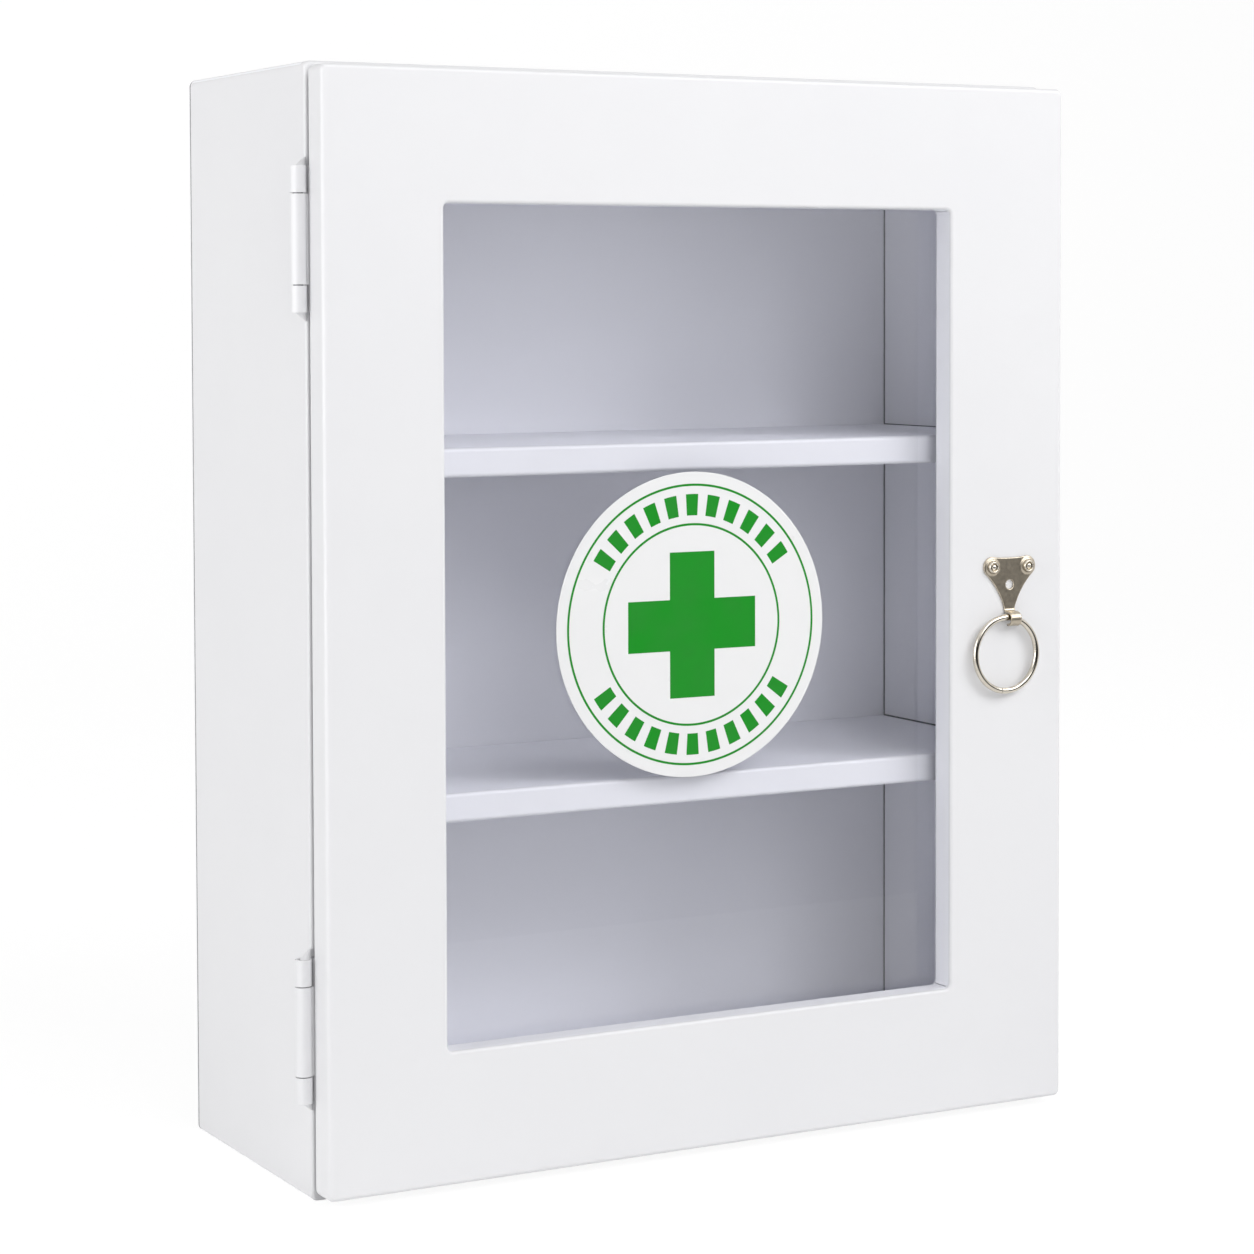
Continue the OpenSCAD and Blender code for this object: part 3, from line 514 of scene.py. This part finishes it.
def plated_metal(name, bright, dull, roughness, patch_scale, streak_scale, streak_h):
    """Metal plating: mottled by dull patches, and with fine streaks that run along the axis of
    the smallest streak scale. Scales are in cells per metre."""
    material, tree, shader = new_material(name)
    place = object_coordinates(tree)
    patches = spread(tree, noise(tree, place, patch_scale, detail=5.0, roughness=0.6), 0.0, 1.0)
    tree.links.new(mixed_colours(tree, patches, bright, dull), shader.inputs["Base Color"])
    streaks = noise(tree, stretched(tree, place, streak_scale), scale=1.0, detail=3.0)
    tree.links.new(spread(tree, streaks, roughness - 0.03, roughness + 0.04),
                   shader.inputs["Roughness"])
    bump(tree, streaks, streak_h, shader)
    shader.inputs["Metallic"].default_value = 1.0
    return material


def moulded(name, base, shade, roughness, grain_scale, grain_h):
    """Plastic, rubber, foam, ink or ferrite with an even grain, in cells per metre."""
    material, tree, shader = new_material(name)
    place = object_coordinates(tree)
    grain = noise(tree, place, grain_scale, detail=4.0)
    tree.links.new(mixed_colours(tree, spread(tree, grain, 0.0, 1.0), base, shade),
                   shader.inputs["Base Color"])
    tree.links.new(spread(tree, grain, roughness - 0.05, roughness + 0.05),
                   shader.inputs["Roughness"])
    bump(tree, grain, grain_h, shader)
    return material


def mixed_shaders(tree, fac, first, second):
    """Sets the material's surface to a mix of two shader nodes."""
    mix = tree.nodes.new("ShaderNodeMixShader")
    tree.links.new(fac, mix.inputs["Fac"])
    tree.links.new(first.outputs[0], mix.inputs[1])
    tree.links.new(second.outputs[0], mix.inputs[2])
    tree.links.new(mix.outputs["Shader"], tree.nodes["Material Output"].inputs["Surface"])


def clear_sheet():
    """Clear acrylic: light passes straight through, and the faces mirror by Fresnel's law with
    the faintest waviness."""
    tint = (0.975, 0.978, 1.0, 1.0)
    material, tree, shader = new_material("clear_acrylic")
    shader.inputs["Base Color"].default_value = tint
    shader.inputs["Roughness"].default_value = 0.0
    shader.inputs["IOR"].default_value = 1.49
    shader.inputs["Transmission Weight"].default_value = 1.0
    waves = noise(tree, object_coordinates(tree), scale=12.0, detail=1.0)
    bump(tree, waves, 0.01 * MM, shader)
    passing = tree.nodes.new("ShaderNodeBsdfTransparent")
    passing.inputs["Color"].default_value = tint
    path = tree.nodes.new("ShaderNodeLightPath").outputs
    mixed_shaders(tree, math_node(tree, "MAXIMUM", path["Is Shadow Ray"], path["Is Diffuse Ray"]),
                  shader, passing)
    return material


# ---- Nodes of the frame and new pieces ----

def dress(node, material):
    """Gives a CAD node its material."""
    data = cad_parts[node].data
    data.materials.clear()
    data.materials.append(material)


def add_piece(made, body, slot, material, *nodes):
    """Finishes a new piece: its material, the body it rides on and the nodes it stands for."""
    made.data.materials.append(material)
    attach(made, body)
    if nodes:
        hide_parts(*nodes)


def box_middle(node):
    """The middle of a node's box."""
    low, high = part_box(node)
    return (low + high) / 2


# ---- Ring pull ----

class PullShape:
    """Measures of the pull, from its settings and from where the frame has its pieces. The flat
    blank has its origin between the two screws, u to the right and v up."""

    def __init__(self, pull):
        self.pull = pull
        screws_low, screws_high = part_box("pull_screws")
        self.head_r = (screws_high.z - screws_low.z) / 2
        self.x, self.z = box_middle("pull_screws").x, box_middle("pull_screws").z
        self.half = (screws_high.x - screws_low.x) / 2 - self.head_r
        self.back_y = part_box("pull_plate")[1].y
        self.mid_y = self.back_y - pull.plate_t / 2
        self.eye_mid_r = pull.eye_r + pull.plate_t / 2
        self.eye_y = self.back_y - pull.plate_t - pull.eye_r
        self.bend_y = self.mid_y - pull.bend_r
        rise = math.sqrt((pull.bend_r + self.eye_mid_r) ** 2 - (self.bend_y - self.eye_y) ** 2)
        self.eye_v = -pull.eye_drop
        self.neck_v = self.eye_v + rise
        self.bend_angle = math.atan2(rise, self.bend_y - self.eye_y)
        self.bend_len = pull.bend_r * (math.pi - self.bend_angle)
        curl = 2 * math.pi - pull.eye_open - self.bend_angle
        self.end_v = self.neck_v - self.bend_len - self.eye_mid_r * curl

    def bent(self, flat):
        """Bends the blank: past the neck it follows a circle forwards, and then one the other way
        round the ring's wire. With a the angle on either circle and h the height over the
        blank's middle, a point lies at centre + (r - h)(cos a, sin a) on the first and at
        centre + (r + h)(cos a, sin a) on the second, in Y and Z."""
        u, v, h = flat.T
        past = self.neck_v - v
        first = -np.clip(past, 0, self.bend_len) / self.pull.bend_r
        second = self.bend_angle + np.clip(past - self.bend_len, 0, None) / self.eye_mid_r
        zones = [past <= 0, past <= self.bend_len]
        y = np.select(zones, [self.mid_y - h, self.bend_y + (self.pull.bend_r - h) * np.cos(first)],
                      self.eye_y + (self.eye_mid_r + h) * np.cos(second))
        rise = np.select(zones, [v, self.neck_v + (self.pull.bend_r - h) * np.sin(first)],
                         self.eye_v + (self.eye_mid_r + h) * np.sin(second))
        return np.column_stack([self.x + u, y, self.z + rise])

    def outline(self):
        """The blank's outline, anticlockwise: half of the tongue's end, its side, the hollow side
        that touches the lobe, the lobe and half of the upper edge, and all of it mirrored."""
        pull, half, cell = self.pull, self.half, self.pull.cell
        lobe, corner_r = np.array([half, 0.0]), 0.5 * MM
        end = np.array([pull.eye_w / 2 - corner_r, self.end_v + corner_r])
        neck = np.array([pull.eye_w / 2, self.neck_v])
        run = neck - lobe
        length = np.linalg.norm(run)
        reach = pull.side_r + pull.lobe_r
        along = (reach ** 2 - pull.side_r ** 2 + length ** 2) / (2 * length)
        across = math.sqrt(reach ** 2 - along ** 2)
        side = lobe + (along * run + across * np.array([-run[1], run[0]])) / length
        touch = math.atan2(*(side - lobe)[::-1])
        from_neck = math.atan2(*(neck - side)[::-1]) % (2 * math.pi)
        from_touch = math.atan2(*(lobe - side)[::-1]) % (2 * math.pi)
        top_r = (half ** 2 + pull.top_sag ** 2) / (2 * pull.top_sag)
        top = np.array([0.0, pull.lobe_r - pull.top_sag + top_r])
        top_angle = math.asin(half / top_r)
        right = np.vstack([
            line((0.0, self.end_v), (end[0], self.end_v), cell),
            arc(end, corner_r, -math.pi / 2, 0.0, cell / 2),
            line((pull.eye_w / 2, end[1]), neck, cell),
            arc(side, pull.side_r, from_neck, from_touch, cell),
            arc(lobe, pull.lobe_r, touch, math.pi / 2, cell),
            arc(top, top_r, -math.pi / 2 + top_angle, -math.pi / 2, cell)])
        return without_repeats(np.vstack([right, right[::-1] * (-1.0, 1.0)]))

    def spare_hole(self):
        """The spare hole's edge, clockwise."""
        return arc((0.0, -self.pull.spare_drop), self.pull.spare_r, 2 * math.pi, 0.0,
                   self.pull.cell)[:-1]

    def from_boss(self, points):
        """Each point's distance from the middle of the nearer boss."""
        bosses = np.array([[-self.half, 0.0], [self.half, 0.0]])
        return np.linalg.norm(points[:, None] - bosses, axis=2).min(axis=1)

    def fill(self, outline, hole):
        """Points inside the blank: rings round both bosses and a square grid elsewhere."""
        cell, edge = self.pull.cell, self.pull.edge_r
        radii = np.arange(cell, self.pull.boss_r + 0.1 * cell, cell)
        rings = [arc((side * self.half, 0.0), r, 0.0, 2 * math.pi, cell)[:-1]
                 for side in (-1, 1) for r in radii]
        low, high = outline.min(axis=0), outline.max(axis=0)
        grid = np.stack(np.meshgrid(np.arange(low[0], high[0], cell),
                                    np.arange(low[1], high[1], cell)), axis=-1).reshape(-1, 2)
        free = self.from_boss(grid) > self.pull.boss_r + 0.6 * cell
        free &= inside(grid, inset(outline, edge + 0.5 * cell))
        free &= ~inside(grid, inset(hole, edge + 0.5 * cell))
        return np.vstack([*rings, grid[free]])

    def raised(self, flat):
        """Lifts the front over the bosses by b s^2 (3 - 2 s), with s the share of the way from
        a boss's foot to its top."""
        foot, top = self.pull.boss_r, self.pull.boss_top_r
        share = np.clip((foot - self.from_boss(flat[:, :2])) / (foot - top), 0.0, 1.0)
        lift = self.pull.boss_h * share ** 2 * (3 - 2 * share)
        lifted = flat.copy()
        lifted[:, 2] += np.where(flat[:, 2] > 0, lift, 0.0)
        return lifted


def pull_plate(shape):
    """The pull's plate as a flat blank with rounded edges and raised bosses, bent afterwards."""
    outline, hole = shape.outline(), shape.spare_hole()
    points, rims, flats = plate_surface([outline, hole], shape.pull.plate_t,
                                        shape.pull.edge_r, shape.fill(outline, hole))
    return link_mesh("pull_plate_pressed", shape.bent(shape.raised(points)), rims + flats)


def pull_screw(name, shape, side):
    """A screw's shank and its head, a round collar with a domed button in its middle. In shares of
    the head's radius and height, the collar's section is a half ellipse, (m + w cos a, t sin a),
    and the button's a quarter, (b cos a, sin a). They meet at the groove's depth."""
    pull = shape.pull
    foot = shape.back_y - pull.plate_t - pull.boss_h
    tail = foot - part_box("pull_screws")[1].y
    shank_r = 0.66 * shape.head_r
    collar_mid, collar_half_w, collar_top, button_r, groove = 0.82, 0.21, 0.88, 0.57, 0.14
    a = np.linspace(0.0, math.pi - math.asin(groove / collar_top), 16)
    collar = np.column_stack([collar_mid + collar_half_w * np.cos(a), collar_top * np.sin(a)])
    a = np.linspace(math.asin(groove), math.pi / 2, 10)
    button = np.column_stack([button_r * np.cos(a), np.sin(a)])
    head = np.vstack([collar, button]) * (shape.head_r, pull.head_h)
    profile = [(0.0, tail), (shank_r * 0.9, tail), (shank_r, tail + 0.1 * shank_r),
               (shank_r, 0.0)]
    profile += head.tolist()
    centre = (shape.x + side * shape.half, foot, shape.z)
    return lathe(name, profile, centre, (0, -1, 0), steps=72)


def ring_wire(shape):
    """Wire bent to a ring, with two rounded ends that meet at the joint. With a the angle along
    the ring and b round the wire: x = (R + r cos b) cos a, z = (R + r cos b) sin a,
    y = r sin b, and r shrinks to the ends as a quarter round."""
    pull = shape.pull
    low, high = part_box("pull_ring")
    wire_r = (high.y - low.y) / 2
    ring_r = (high.x - low.x) / 2 - wire_r
    round_r = 0.3 * MM
    ease = np.linspace(0.0, math.pi / 2, 6)[:-1]
    half_gap = pull.joint_gap / 2
    into = (half_gap + round_r * (1 - np.cos(ease))) / ring_r
    first = (half_gap + round_r) / ring_r
    along = np.linspace(first, 2 * math.pi - first, 280)
    a = pull.joint + np.concatenate([into, along, 2 * math.pi - into[::-1]])
    shrink = round_r * (1 - np.sin(ease))
    r = wire_r - np.concatenate([shrink, np.zeros(along.size), shrink[::-1]])
    b = np.linspace(0.0, 2 * math.pi, 40, endpoint=False)
    out = ring_r + r[:, None] * np.cos(b)
    rings = np.stack([out * np.cos(a)[:, None], r[:, None] * np.sin(b), out * np.sin(a)[:, None]],
                     axis=-1) + np.array(box_middle("pull_ring"))
    return capped_rings("pull_ring_wire", rings, rings[0].mean(axis=0), rings[-1].mean(axis=0))


# ---- Pane ----

def polished_pane():
    """The pane with rounded, polished edges, a hair thinner than its seat so that its faces lie
    clear of the tape, the clips and the sticker."""
    low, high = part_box("window_pane")
    corner_r, edge_r, cell = 1.0 * MM, 0.3 * MM, 0.25 * MM
    points, rims, flats = plate_surface(
        [rounded_rectangle(low, high, corner_r, cell)], high.y - low.y - 2 * AIR, edge_r,
        np.empty((0, 2)))
    u, v, height = points.T
    made = link_mesh("window_pane_polished",
                     np.column_stack([u, (low.y + high.y) / 2 - height, v]), rims + flats)
    made.data.polygons.foreach_set("use_smooth", np.arange(len(rims + flats)) < len(rims))
    return made


# ---- Sticker ----

def sticker_disc(sticker):
    """The vinyl disc with a softly rounded rim, which starts a hair in front of the pane."""
    low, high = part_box("sticker")
    radius, t = (high.x - low.x) / 2, high.y - low.y - AIR
    profile = ((0.0, 0.0), (0.5 * radius, 0.0), (radius - 0.25 * t, 0.0), (radius, 0.25 * t),
               (radius, 0.7 * t), (radius - 0.25 * t, t), (radius - t, t), (0.5 * radius, t),
               (0.0, t))
    centre = (box_middle("sticker").x, high.y - AIR, box_middle("sticker").z)
    return lathe("sticker_vinyl_disc", profile, centre, (0, -1, 0), steps=240)


def sector(radius_in, radius_out, start, end):
    """A stretch of a ring as an anticlockwise outline."""
    cell = 1.2 * MM
    return np.vstack([arc((0, 0), radius_out, start, end, cell),
                      arc((0, 0), radius_in, end, start, cell)])


def cross_outline(half_len, half_w):
    """A cross with four equal arms: one arm's three corners, turned three times."""
    arm = np.array([[half_w, half_w], [half_len, half_w], [half_len, -half_w]])
    turns = [np.array([[math.cos(a), -math.sin(a)], [math.sin(a), math.cos(a)]])
             for a in np.arange(4) * math.pi / 2]
    return np.vstack([arm[::-1] @ turn.T for turn in turns])


def sticker_print(sticker):
    """The print: two rings, a cross and two rows of plain bars between the rings."""
    low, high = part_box("sticker")
    centre = box_middle("sticker")
    radius = (high.x - low.x) / 2
    outlines = [cross_outline(sticker.cross_share * radius / 2, sticker.arm_share * radius / 2)]
    for share in (sticker.outer_ring, sticker.inner_ring):
        middle, half_w = share * radius, sticker.ring_w / 2
        quarters = np.arange(5) * math.pi / 2
        outlines += [sector(middle - half_w, middle + half_w, start, end)
                     for start, end in zip(quarters[:-1], quarters[1:])]
    step = sticker.row_angle / sticker.bars
    for row_middle in (math.pi / 2, -math.pi / 2):
        starts = row_middle - sticker.row_angle / 2 + step * np.arange(sticker.bars)
        outlines += [sector(sticker.bar_in * radius, sticker.bar_out * radius,
                            start + 0.22 * step, start + 0.78 * step) for start in starts]
    return prisms("sticker_print", outlines, sticker.ink_t, lambda flat: np.column_stack([
        centre.x + flat[:, 0], low.y - flat[:, 2], centre.z + flat[:, 1]]))


# ---- Stage ----

def area_lamp(name, place, aim, width, watts):
    """A square soft lamp that faces aim."""
    data = bpy.data.lights.new(name, "AREA")
    data.shape = "SQUARE"
    data.size = width
    data.energy = watts
    lamp = bpy.data.objects.new(name, data)
    lamp.location = place
    lamp.rotation_euler = (Vector(place) - aim).to_track_quat("Z", "Y").to_euler()
    bpy.context.scene.collection.objects.link(lamp)


def sees_background(tree):
    """1 for rays from the camera and for those that metal or glass sends on, otherwise 0."""
    path = tree.nodes.new("ShaderNodeLightPath").outputs
    seen = math_node(tree, "MAXIMUM", path["Is Camera Ray"], path["Is Glossy Ray"])
    return math_node(tree, "MAXIMUM", seen, path["Is Transmission Ray"])


def white_glow(tree, strength):
    """An emission shader node."""
    glow = tree.nodes.new("ShaderNodeEmission")
    glow.inputs["Color"].default_value = (1.0, 1.0, 1.0, 1.0)
    glow.inputs["Strength"].default_value = strength
    return glow


def pale_sweep():
    """Floor that curves up into a backdrop: a line along Y, a quarter circle and a line up Z,
    carried along X."""
    half_w, front, back, bend_r, top = 4.0, -3.5, 2.2, 0.8, 3.2
    turn = np.linspace(0.0, math.pi / 2, 24)
    y = np.concatenate([[front], back - bend_r + bend_r * np.sin(turn), [back]])
    z = np.concatenate([[0.0], bend_r - bend_r * np.cos(turn), [top]])
    x = np.array([-half_w, half_w])
    points = np.stack([np.broadcast_to(x[:, None], (2, y.size)),
                       np.broadcast_to(y, (2, y.size)), np.broadcast_to(z, (2, y.size))], axis=-1)
    made = link_mesh("floor", points.reshape(-1, 3), grid_faces(2, y.size)[:, ::-1])
    material, tree, shader = new_material("pale_floor")
    shader.inputs["Base Color"].default_value = (0.88, 0.88, 0.88, 1.0)
    shader.inputs["Roughness"].default_value = 0.9
    glow_share, glow_strength = 0.82, 1.1
    mixed_shaders(tree, math_node(tree, "MULTIPLY", sees_background(tree), glow_share), shader,
                  white_glow(tree, glow_strength))
    made.data.materials.append(material)
    return made


def soft_card(name, middle, half, strength):
    """A card in front of the cabinet, which only mirrored light meets. It fades out to its edges:
    with d the scaled distance from its middle, it is full below 0.4 and gone at 1."""
    middle, half = Vector(middle), Vector(half)
    card = link_mesh(name, [middle + Vector((i * half.x, 0.0, k * half.z))
                            for i, k in ((-1, -1), (1, -1), (1, 1), (-1, 1))],
                     [(0, 1, 2, 3)])
    material, tree, shader = new_material(name)
    tree.nodes.remove(shader)
    scaled = from_middle(tree, object_coordinates(tree), middle, half)
    away = vector_node(tree, "LENGTH", scaled)
    mixed_shaders(tree, spread(tree, away, 1.0, 0.0, 0.4, 1.0),
                  tree.nodes.new("ShaderNodeBsdfTransparent"), white_glow(tree, strength))
    card.data.materials.append(material)
    card.visible_camera = False
    card.visible_diffuse = False
    card.visible_transmission = False
    card.visible_shadow = False
    return card


def pale_world(scene, ambient):
    """White to the camera, to metal and through glass, and the ambient light for the rest."""
    world = bpy.data.worlds.new("studio")
    world.use_nodes = True
    scene.world = world
    tree = world.node_tree
    strength = tree.nodes.new("ShaderNodeMapRange")
    strength.inputs["To Min"].default_value = ambient
    strength.inputs["To Max"].default_value = 1.0
    tree.links.new(sees_background(tree), strength.inputs["Value"])
    background = tree.nodes["Background"]
    background.inputs["Color"].default_value = (1.0, 1.0, 1.0, 1.0)
    tree.links.new(strength.outputs["Result"], background.inputs["Strength"])


# ---- Operators, one for each piece or group of like pieces ----

class CABINET_OT_paint_sheet_metal(bpy.types.Operator):
    """Powder-coats the case, shelves, door and hinges"""
    bl_idname = "cabinet.paint_sheet_metal"
    bl_label = "Paint Sheet Metal"

    def execute(self, context):
        paint = coat_with_painted_light_and_shade(context.scene.cabinet_paint)
        for node in PAINTED:
            dress(node, paint)
        return {"FINISHED"}


class CABINET_OT_finish_fittings(bpy.types.Operator):
    """Plates the small fittings and gives catch, buffers and tape their own materials"""
    bl_idname = "cabinet.finish_fittings"
    bl_label = "Finish Fittings"

    def execute(self, context):
        zinc = plated_metal("zinc_plate", bright=(0.66, 0.67, 0.69), dull=(0.56, 0.58, 0.61),
                            roughness=0.3, patch_scale=260.0, streak_scale=(300.0, 300.0, 2400.0),
                            streak_h=0.004 * MM)
        for node in ZINC_PLATED:
            dress(node, zinc)
        # Painted shade: the pins are dark steel so the gaps between the knuckles read dark.
        pin_steel_for_gap_shade = plated_metal("pin_steel_painted_shade", bright=(0.20, 0.20, 0.21),
                                  dull=(0.13, 0.13, 0.14), roughness=0.4, patch_scale=500.0,
                                  streak_scale=(900.0, 900.0, 300.0), streak_h=0.004 * MM)
        for node in HINGE_PINS:
            dress(node, pin_steel_for_gap_shade)
        dress("catch_housing",
              moulded("moulded_white", base=(0.86, 0.86, 0.84), shade=(0.83, 0.83, 0.81),
                      roughness=0.42, grain_scale=900.0, grain_h=0.01 * MM))
        dress("catch_magnet",
              moulded("sintered_ferrite", base=(0.045, 0.045, 0.05), shade=(0.075, 0.075, 0.08),
                      roughness=0.6, grain_scale=1500.0, grain_h=0.03 * MM))
        dress("door_buffers",
              moulded("soft_buffer", base=(0.80, 0.80, 0.78), shade=(0.74, 0.74, 0.72),
                      roughness=0.38, grain_scale=500.0, grain_h=0.01 * MM))
        dress("sealing_tape",
              moulded("white_foam", base=(0.78, 0.79, 0.81), shade=(0.68, 0.69, 0.71),
                      roughness=0.85, grain_scale=2200.0, grain_h=0.06 * MM))
        return {"FINISHED"}


class CABINET_OT_glaze_window(bpy.types.Operator):
    """Makes the window's pane of clear acrylic"""
    bl_idname = "cabinet.glaze_window"
    bl_label = "Glaze Window"

    def execute(self, context):
        add_piece(polished_pane(), "door", "clear_pane", clear_sheet(), "window_pane")
        return {"FINISHED"}


class CABINET_OT_finish_pull(bpy.types.Operator):
    """Nickel-plates the ring pull"""
    bl_idname = "cabinet.finish_pull"
    bl_label = "Finish Ring Pull"

    def execute(self, context):
        pull = context.scene.cabinet_pull
        satin = plated_metal("satin_nickel", pull.nickel, pull.tarnish, roughness=0.34,
                             patch_scale=900.0, streak_scale=(1100.0, 1100.0, 900.0),
                             streak_h=0.0012 * MM)
        polished = plated_metal("polished_nickel", pull.wire, pull.wire_shade, roughness=0.14,
                                patch_scale=300.0, streak_scale=(600.0, 600.0, 600.0),
                                streak_h=0.002 * MM)
        shape = PullShape(pull)
        add_piece(pull_plate(shape), "door", "nickel", satin, "pull_plate")
        for name, side in (("pull_screw_left", -1), ("pull_screw_right", 1)):
            add_piece(pull_screw(name, shape, side), "door", "nickel", polished, "pull_screws")
        add_piece(ring_wire(shape), "ring", "nickel", polished, "pull_ring")
        return {"FINISHED"}


class CABINET_OT_print_sticker(bpy.types.Operator):
    """Makes the round vinyl sticker and its print"""
    bl_idname = "cabinet.print_sticker"
    bl_label = "Print Sticker"

    def execute(self, context):
        sticker = context.scene.cabinet_sticker
        white, green = sticker.vinyl, sticker.ink
        vinyl = moulded("white_vinyl", base=white, shade=[0.985 * c for c in white],
                        roughness=0.32, grain_scale=60.0, grain_h=0.004 * MM)
        ink = moulded("green_ink", base=green, shade=[0.9 * c for c in green],
                      roughness=0.36, grain_scale=90.0, grain_h=0.002 * MM)
        add_piece(sticker_disc(sticker), "door", "sticker_vinyl", vinyl, "sticker")
        add_piece(sticker_print(sticker), "door", "sticker_vinyl", ink)
        return {"FINISHED"}


class CABINET_OT_set_stage(bpy.types.Operator):
    """Sets the camera, the lamps, the world and the pale floor"""
    bl_idname = "cabinet.set_stage"
    bl_label = "Set Stage"

    def execute(self, context):
        stage = context.scene.cabinet_stage
        scene = context.scene
        data = bpy.data.cameras.new("camera")
        data.sensor_width = 36.0
        data.lens = stage.lens_mm
        data.shift_y = stage.frame_shift
        data.clip_end = 30.0
        camera = bpy.data.objects.new("camera", data)
        camera.location = stage.camera_place
        camera.rotation_euler = stage.camera_turn
        scene.collection.objects.link(camera)
        scene.camera = camera
        aim = Vector((0.0, 0.0, 0.2))
        area_lamp("key_lamp", (1.3, -1.5, 1.5), aim, width=1.2, watts=stage.key_w)
        area_lamp("front_lamp", (-0.3, -2.0, 0.9), aim, width=1.2, watts=stage.front_w)
        area_lamp("high_lamp", (0.2, -1.6, 1.8), aim, width=1.0, watts=stage.high_w)
        area_lamp("side_lamp", (-2.0, 0.0, 0.7), aim, width=1.4, watts=stage.side_w)
        # The dark cards give the pull's plate and the middle of its wire their deep tone, the
        # bright one draws a line of light along the upright folds.
        pale_sweep()
        soft_card("dark_card_front", (0.24, -0.45, 0.165), (0.52, 1.0, 0.22), 0.01)
        soft_card("dark_card_lens", (-0.13, -0.47, 0.235), (0.26, 1.0, 0.40), 0.01)
        soft_card("bright_card_left", (-0.72, -0.37, 0.2), (0.26, 1.0, 0.45), 7.0)
        pale_world(scene, stage.ambient)
        scene.view_settings.view_transform = "Standard"
        return {"FINISHED"}


# ---- Registration and run ----

SETTINGS = {
    "cabinet_paint": CabinetPaintSettings,
    "cabinet_pull": CabinetPullSettings,
    "cabinet_sticker": CabinetStickerSettings,
    "cabinet_stage": CabinetStageSettings,
}
OPERATORS = (
    CABINET_OT_paint_sheet_metal,
    CABINET_OT_finish_fittings,
    CABINET_OT_glaze_window,
    CABINET_OT_finish_pull,
    CABINET_OT_print_sticker,
    CABINET_OT_set_stage,
)


class CABINET_PT_pieces(bpy.types.Panel):
    """Lists the operators in the order in which they are run"""
    bl_idname = "CABINET_PT_pieces"
    bl_label = "Medicine Cabinet"
    bl_space_type = "VIEW_3D"
    bl_region_type = "UI"
    bl_category = "Cabinet"

    def draw(self, context):
        for operator in OPERATORS:
            self.layout.operator(operator.bl_idname)


def register():
    for cls in (*SETTINGS.values(), *OPERATORS, CABINET_PT_pieces):
        bpy.utils.register_class(cls)
    for name, group in SETTINGS.items():
        setattr(bpy.types.Scene, name, PointerProperty(type=group))


def unregister():
    for name in SETTINGS:
        delattr(bpy.types.Scene, name)
    for cls in reversed((*SETTINGS.values(), *OPERATORS, CABINET_PT_pieces)):
        bpy.utils.unregister_class(cls)


def main():
    register()
    for operator in OPERATORS:
        area, name = operator.bl_idname.split(".")
        getattr(getattr(bpy.ops, area), name)()


if __name__ == "__main__":
    main()
